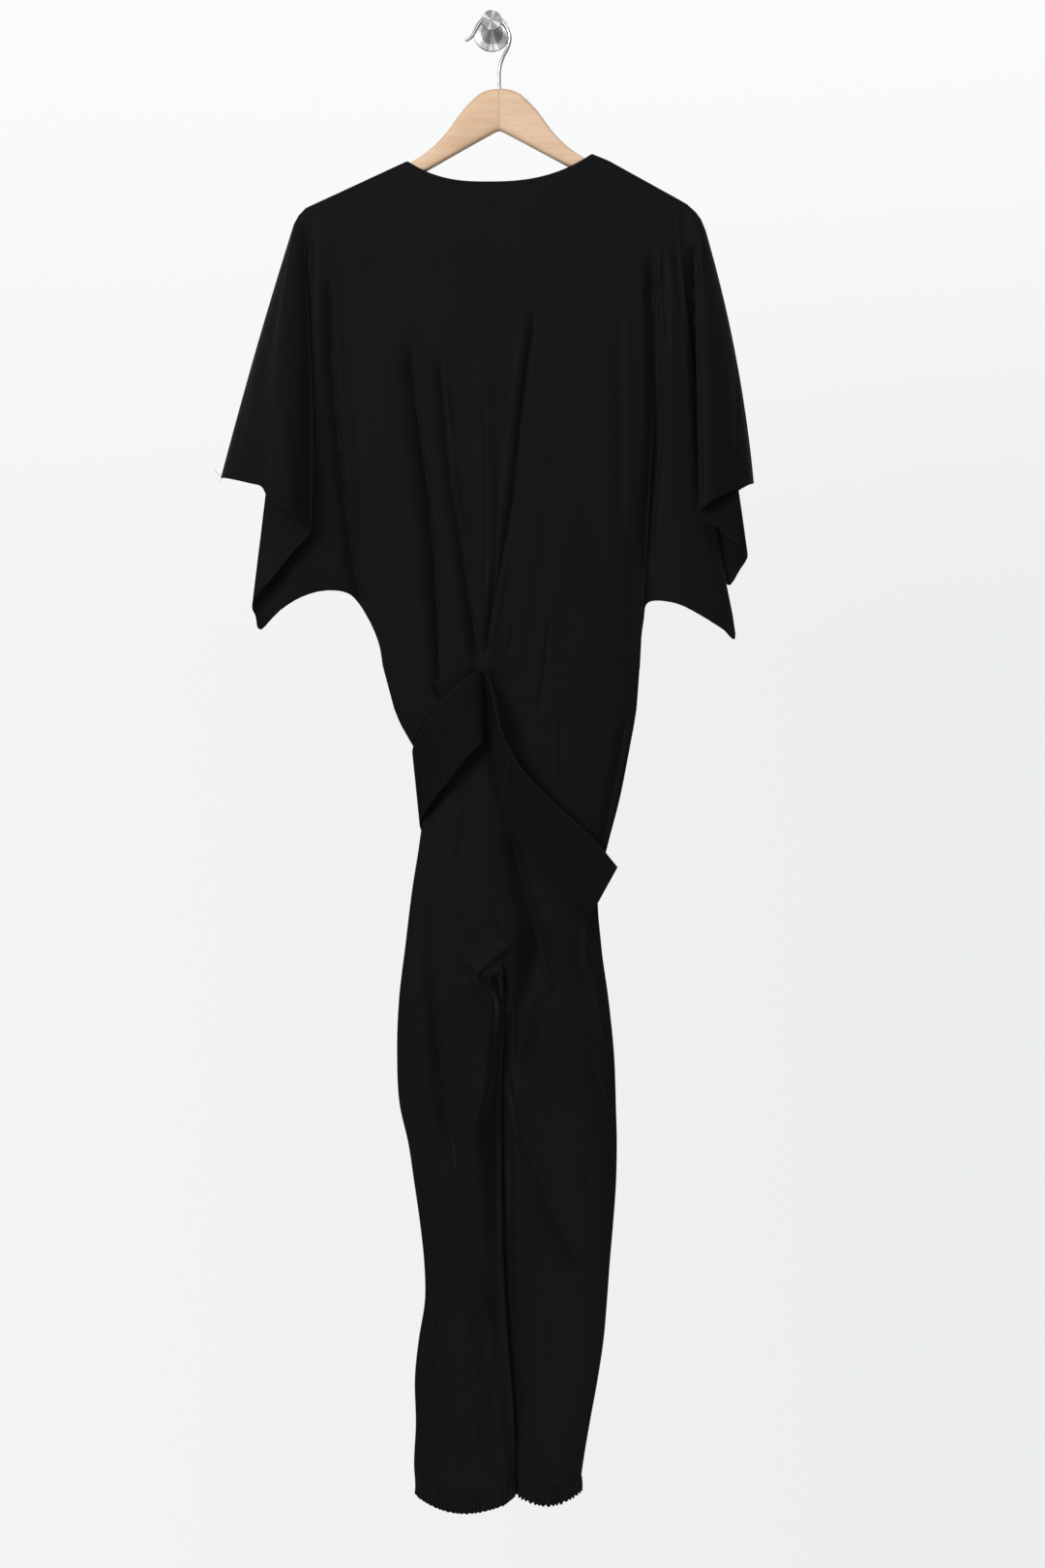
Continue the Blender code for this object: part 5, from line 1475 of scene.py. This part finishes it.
for before, after in zip(stations, stations[1:]):
    step = ((after[0] - before[0]) * MM, 0, (before[1] - after[1]) * MM)
    bpy.ops.mesh.extrude_region_move(TRANSFORM_OT_translate={"value": step})
    centre = (after[0] * MM, MIDDLE_Y * MM, -after[1] * MM)
    growth = (1, after[3] / before[3], after[2] / before[2])
    bpy.ops.transform.resize(value=growth, center_override=centre)
bpy.ops.mesh.edge_face_add()
bpy.ops.mesh.inset(thickness=CAP_INSET * MM)
bpy.ops.object.mode_set(mode="OBJECT")
for corner in arms.data.vertices:
    corner.select = corner.co.x < (stations[0][0] + 0.01) * MM
bpy.ops.object.mode_set(mode="EDIT")
bpy.ops.mesh.edge_face_add()
bpy.ops.mesh.inset(thickness=CAP_INSET * MM)
turn_faces_out()
bpy.ops.object.modifier_add(type="SUBSURF")
arms.modifiers["Subdivision"].levels = arms.modifiers["Subdivision"].render_levels = 1
bpy.ops.object.modifier_apply(modifier="Subdivision")
print("wooden arms:", [round(size / MM) for size in arms.dimensions], "mm")

# %% Hole for the hook
WIRE_RADIUS, WIRE_DEPTH_IN_WOOD, HOLE_GAP = 1.85, 13.0, 0.35
bpy.ops.mesh.primitive_cylinder_add(
    vertices=32,
    radius=(WIRE_RADIUS + HOLE_GAP) * MM,
    depth=2 * (WIRE_DEPTH_IN_WOOD + 1) * MM,
    location=(HANGER_APEX[0] * MM, MIDDLE_Y * MM, -HANGER_APEX[1] * MM),
)
drill = bpy.context.object
bpy.ops.object.select_all(action="DESELECT")
arms.select_set(True)
bpy.context.view_layer.objects.active = arms
bpy.ops.object.modifier_add(type="BOOLEAN")
arms.modifiers["Boolean"].operation, arms.modifiers["Boolean"].object = "DIFFERENCE", drill
bpy.ops.object.modifier_apply(modifier="Boolean")
bpy.data.objects.remove(drill)
bpy.ops.object.shade_smooth_by_angle(angle=math.radians(45))
arms.data.materials.append(beech.material)
print("faces on the arms:", len(arms.data.polygons))

# %% [markdown]
# ## Hook
#
# The hook is one bent wire: out of the wood, round the knob's stem and on to a flicked tip. Its
# line is a smooth curve through measured points, so the same tube helper makes it.

# %% Wire hook
# The wire's own line, from the wood up, round the knob's stem and out to its tip
WIRE_LINE = (
    (8.4, 60), (9.4, 47), (13.2, 36), (18.4, 25.5), (20.2, 14.7), (17.6, 7), (12.6, 0.6),
    (7, -4.7), (0.3, -6.7), (-7, -4.6), (-13.6, 1.2), (-18, 8.5), (-21.4, 14.4), (-28.5, 18.9),
)

knots = np.array([(HANGER_APEX[0], HANGER_APEX[1] + WIRE_DEPTH_IN_WOOD), HANGER_APEX, *WIRE_LINE])
run = np.concatenate([[0], np.cumsum(np.hypot(*np.diff(knots, axis=0).T))])
at = np.linspace(0, run[-1], 110)
wire = [(x, MIDDLE_Y, -drop) for x, drop in zip(*(through(at, run, column) for column in knots.T))]
hook = tube("hook_wire", wire, WIRE_RADIUS, wire_steel, sides=6)
print("wire:", round(float(run[-1])), "mm long")

# %% [markdown]
# ## Wall knob
#
# The knob is turned on a lathe: a flange on the wall, a trumpet-shaped stem and a small disc in
# front. A ring is extruded backwards from the disc's face and resized at every change of the
# profile, as a lathe tool would cut it, and both ends are closed.

# %% Knob
FLANGE_RADIUS, FLANGE_THICK = 20.3, 2.6
STEM_RADIUS, KNOB_LENGTH, DISC_RADIUS = 4.4, 45.0, 11.2
STEM_END = KNOB_LENGTH - 16.0
TRUMPET_STEPS, TRUMPET_MOUTH, TRUMPET_POWER = 16, FLANGE_RADIUS * 0.62, 2.4
profile = [
    (1.0, KNOB_LENGTH),
    (DISC_RADIUS - 1.4, KNOB_LENGTH),
    (DISC_RADIUS - 0.8, KNOB_LENGTH - 0.08),
    (DISC_RADIUS - 0.25, KNOB_LENGTH - 0.35),
    (DISC_RADIUS, KNOB_LENGTH - 0.9),
    (DISC_RADIUS, KNOB_LENGTH - 2.8),
    (DISC_RADIUS - 0.4, KNOB_LENGTH - 3.4),
    (DISC_RADIUS - 1.2, KNOB_LENGTH - 3.8),
    (STEM_RADIUS + 0.8, KNOB_LENGTH - 4.9),
    (STEM_RADIUS, KNOB_LENGTH - 5.8),
    (STEM_RADIUS, STEM_END),
]
for step in range(1, TRUMPET_STEPS + 1):
    share = step / TRUMPET_STEPS
    radius = STEM_RADIUS + (TRUMPET_MOUTH - STEM_RADIUS) * share**TRUMPET_POWER
    profile.append((radius, STEM_END - share * (STEM_END - FLANGE_THICK)))
profile += [
    (FLANGE_RADIUS - 0.9, FLANGE_THICK),
    (FLANGE_RADIUS - 0.3, FLANGE_THICK - 0.2),
    (FLANGE_RADIUS, FLANGE_THICK - 0.7),
    (FLANGE_RADIUS, 0.0),
]
bpy.ops.object.select_all(action="DESELECT")
across_y = (math.radians(90), 0, 0)
bpy.ops.mesh.primitive_circle_add(vertices=96, radius=profile[0][0] * MM, rotation=across_y)
bpy.ops.object.transform_apply(location=True, rotation=True, scale=True)
knob = bpy.context.object
knob.name = knob.data.name = "turned_knob"
bpy.ops.object.mode_set(mode="EDIT")
bpy.ops.mesh.select_all(action="SELECT")
bpy.ops.transform.translate(value=(0, -KNOB_LENGTH * MM, 0))
for (radius, distance), (next_radius, next_distance) in zip(profile, profile[1:]):
    back_by = (0, (distance - next_distance) * MM, 0)
    bpy.ops.mesh.extrude_region_move(TRANSFORM_OT_translate={"value": back_by})
    grow = next_radius / radius
    bpy.ops.transform.resize(value=(grow, 1, grow), center_override=(0, -next_distance * MM, 0))
bpy.ops.mesh.edge_face_add()
bpy.ops.object.mode_set(mode="OBJECT")
for corner in knob.data.vertices:
    in_disc = corner.co.y < (-KNOB_LENGTH + 0.01) * MM
    corner.select = in_disc and math.hypot(corner.co.x, corner.co.z) < 1.5 * MM
bpy.ops.object.mode_set(mode="EDIT")
bpy.ops.mesh.edge_face_add()
turn_faces_out()
bpy.ops.object.shade_smooth_by_angle(angle=math.radians(32))
knob.data.materials.append(brushed.material)
print("knob:", [round(size / MM, 1) for size in knob.dimensions], "mm")

# %% [markdown]
# ## Joining the pieces to the imported model
#
# Each piece stands for one imported solid, which it hides, and rides on its body.
# Each cloth piece's area is printed beside the flat size that it was cut to, so that a cloth which
# had stretched or shrunk on the way would show.

# %% Pieces and what they stand for
BODY = next(iter(frame["bodies"]))
STANDS_FOR = {
    back: ("back_bodice", "black_jersey"),
    front: ("front_bodice", "black_jersey"),
    back_band: ("back_waistband", "black_jersey"),
    front_band: ("front_waistband", "black_jersey"),
    legs[0]: ("back_left_leg", "black_jersey"),
    legs[1]: ("front_left_leg", "black_jersey"),
    legs[2]: ("back_right_leg", "black_jersey"),
    legs[3]: ("front_right_leg", "black_jersey"),
    casings[0]: ("left_ankle_casing", "black_jersey"),
    casings[1]: ("right_ankle_casing", "black_jersey"),
    belt_left: ("belt_left_stretch", "black_elastic"),
    belt_right: ("belt_right_stretch", "black_elastic"),
    arms: ("hanger_wood", "beech"),
    hook: ("hanger_hook", "wire_steel"),
    knob: ("wall_knob", "knob_steel"),
}
for piece, (node, slot) in STANDS_FOR.items():
    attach(piece, BODY)
    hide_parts(node)
for piece in threads:
    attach(piece, BODY)
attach(belt_stitches, BODY)
print("pieces on", BODY + ":", len(STANDS_FOR) + len(threads) + 1)

# %% Cloth as it was cut
# Each sheet's flat size in metres, and its area where it isn't the whole rectangle
CUTS = {
    back: ((0.88, 0.6), 0.33),
    front: ((0.74, 0.59), 0.255),
    back_band: ((0.285, 0.043), None),
    front_band: ((0.285, 0.043), None),
    legs[0]: ((0.14, 0.87), 0.1),
    legs[1]: ((0.135, 0.87), 0.097),
    legs[2]: ((0.17, 0.87), 0.12),
    legs[3]: ((0.16, 0.87), 0.112),
    casings[0]: ((0.34, 0.017), None),
    casings[1]: ((0.255, 0.017), None),
    belt_left: ((0.215, 0.067), None),
    belt_right: ((0.204, 0.062), None),
}
for piece, (flat, area) in CUTS.items():
    held = "gathered" if piece in casings else "hung"
    print(piece.name, round(area_of(piece), 4), "m2 of", round(area or flat[0] * flat[1], 4))
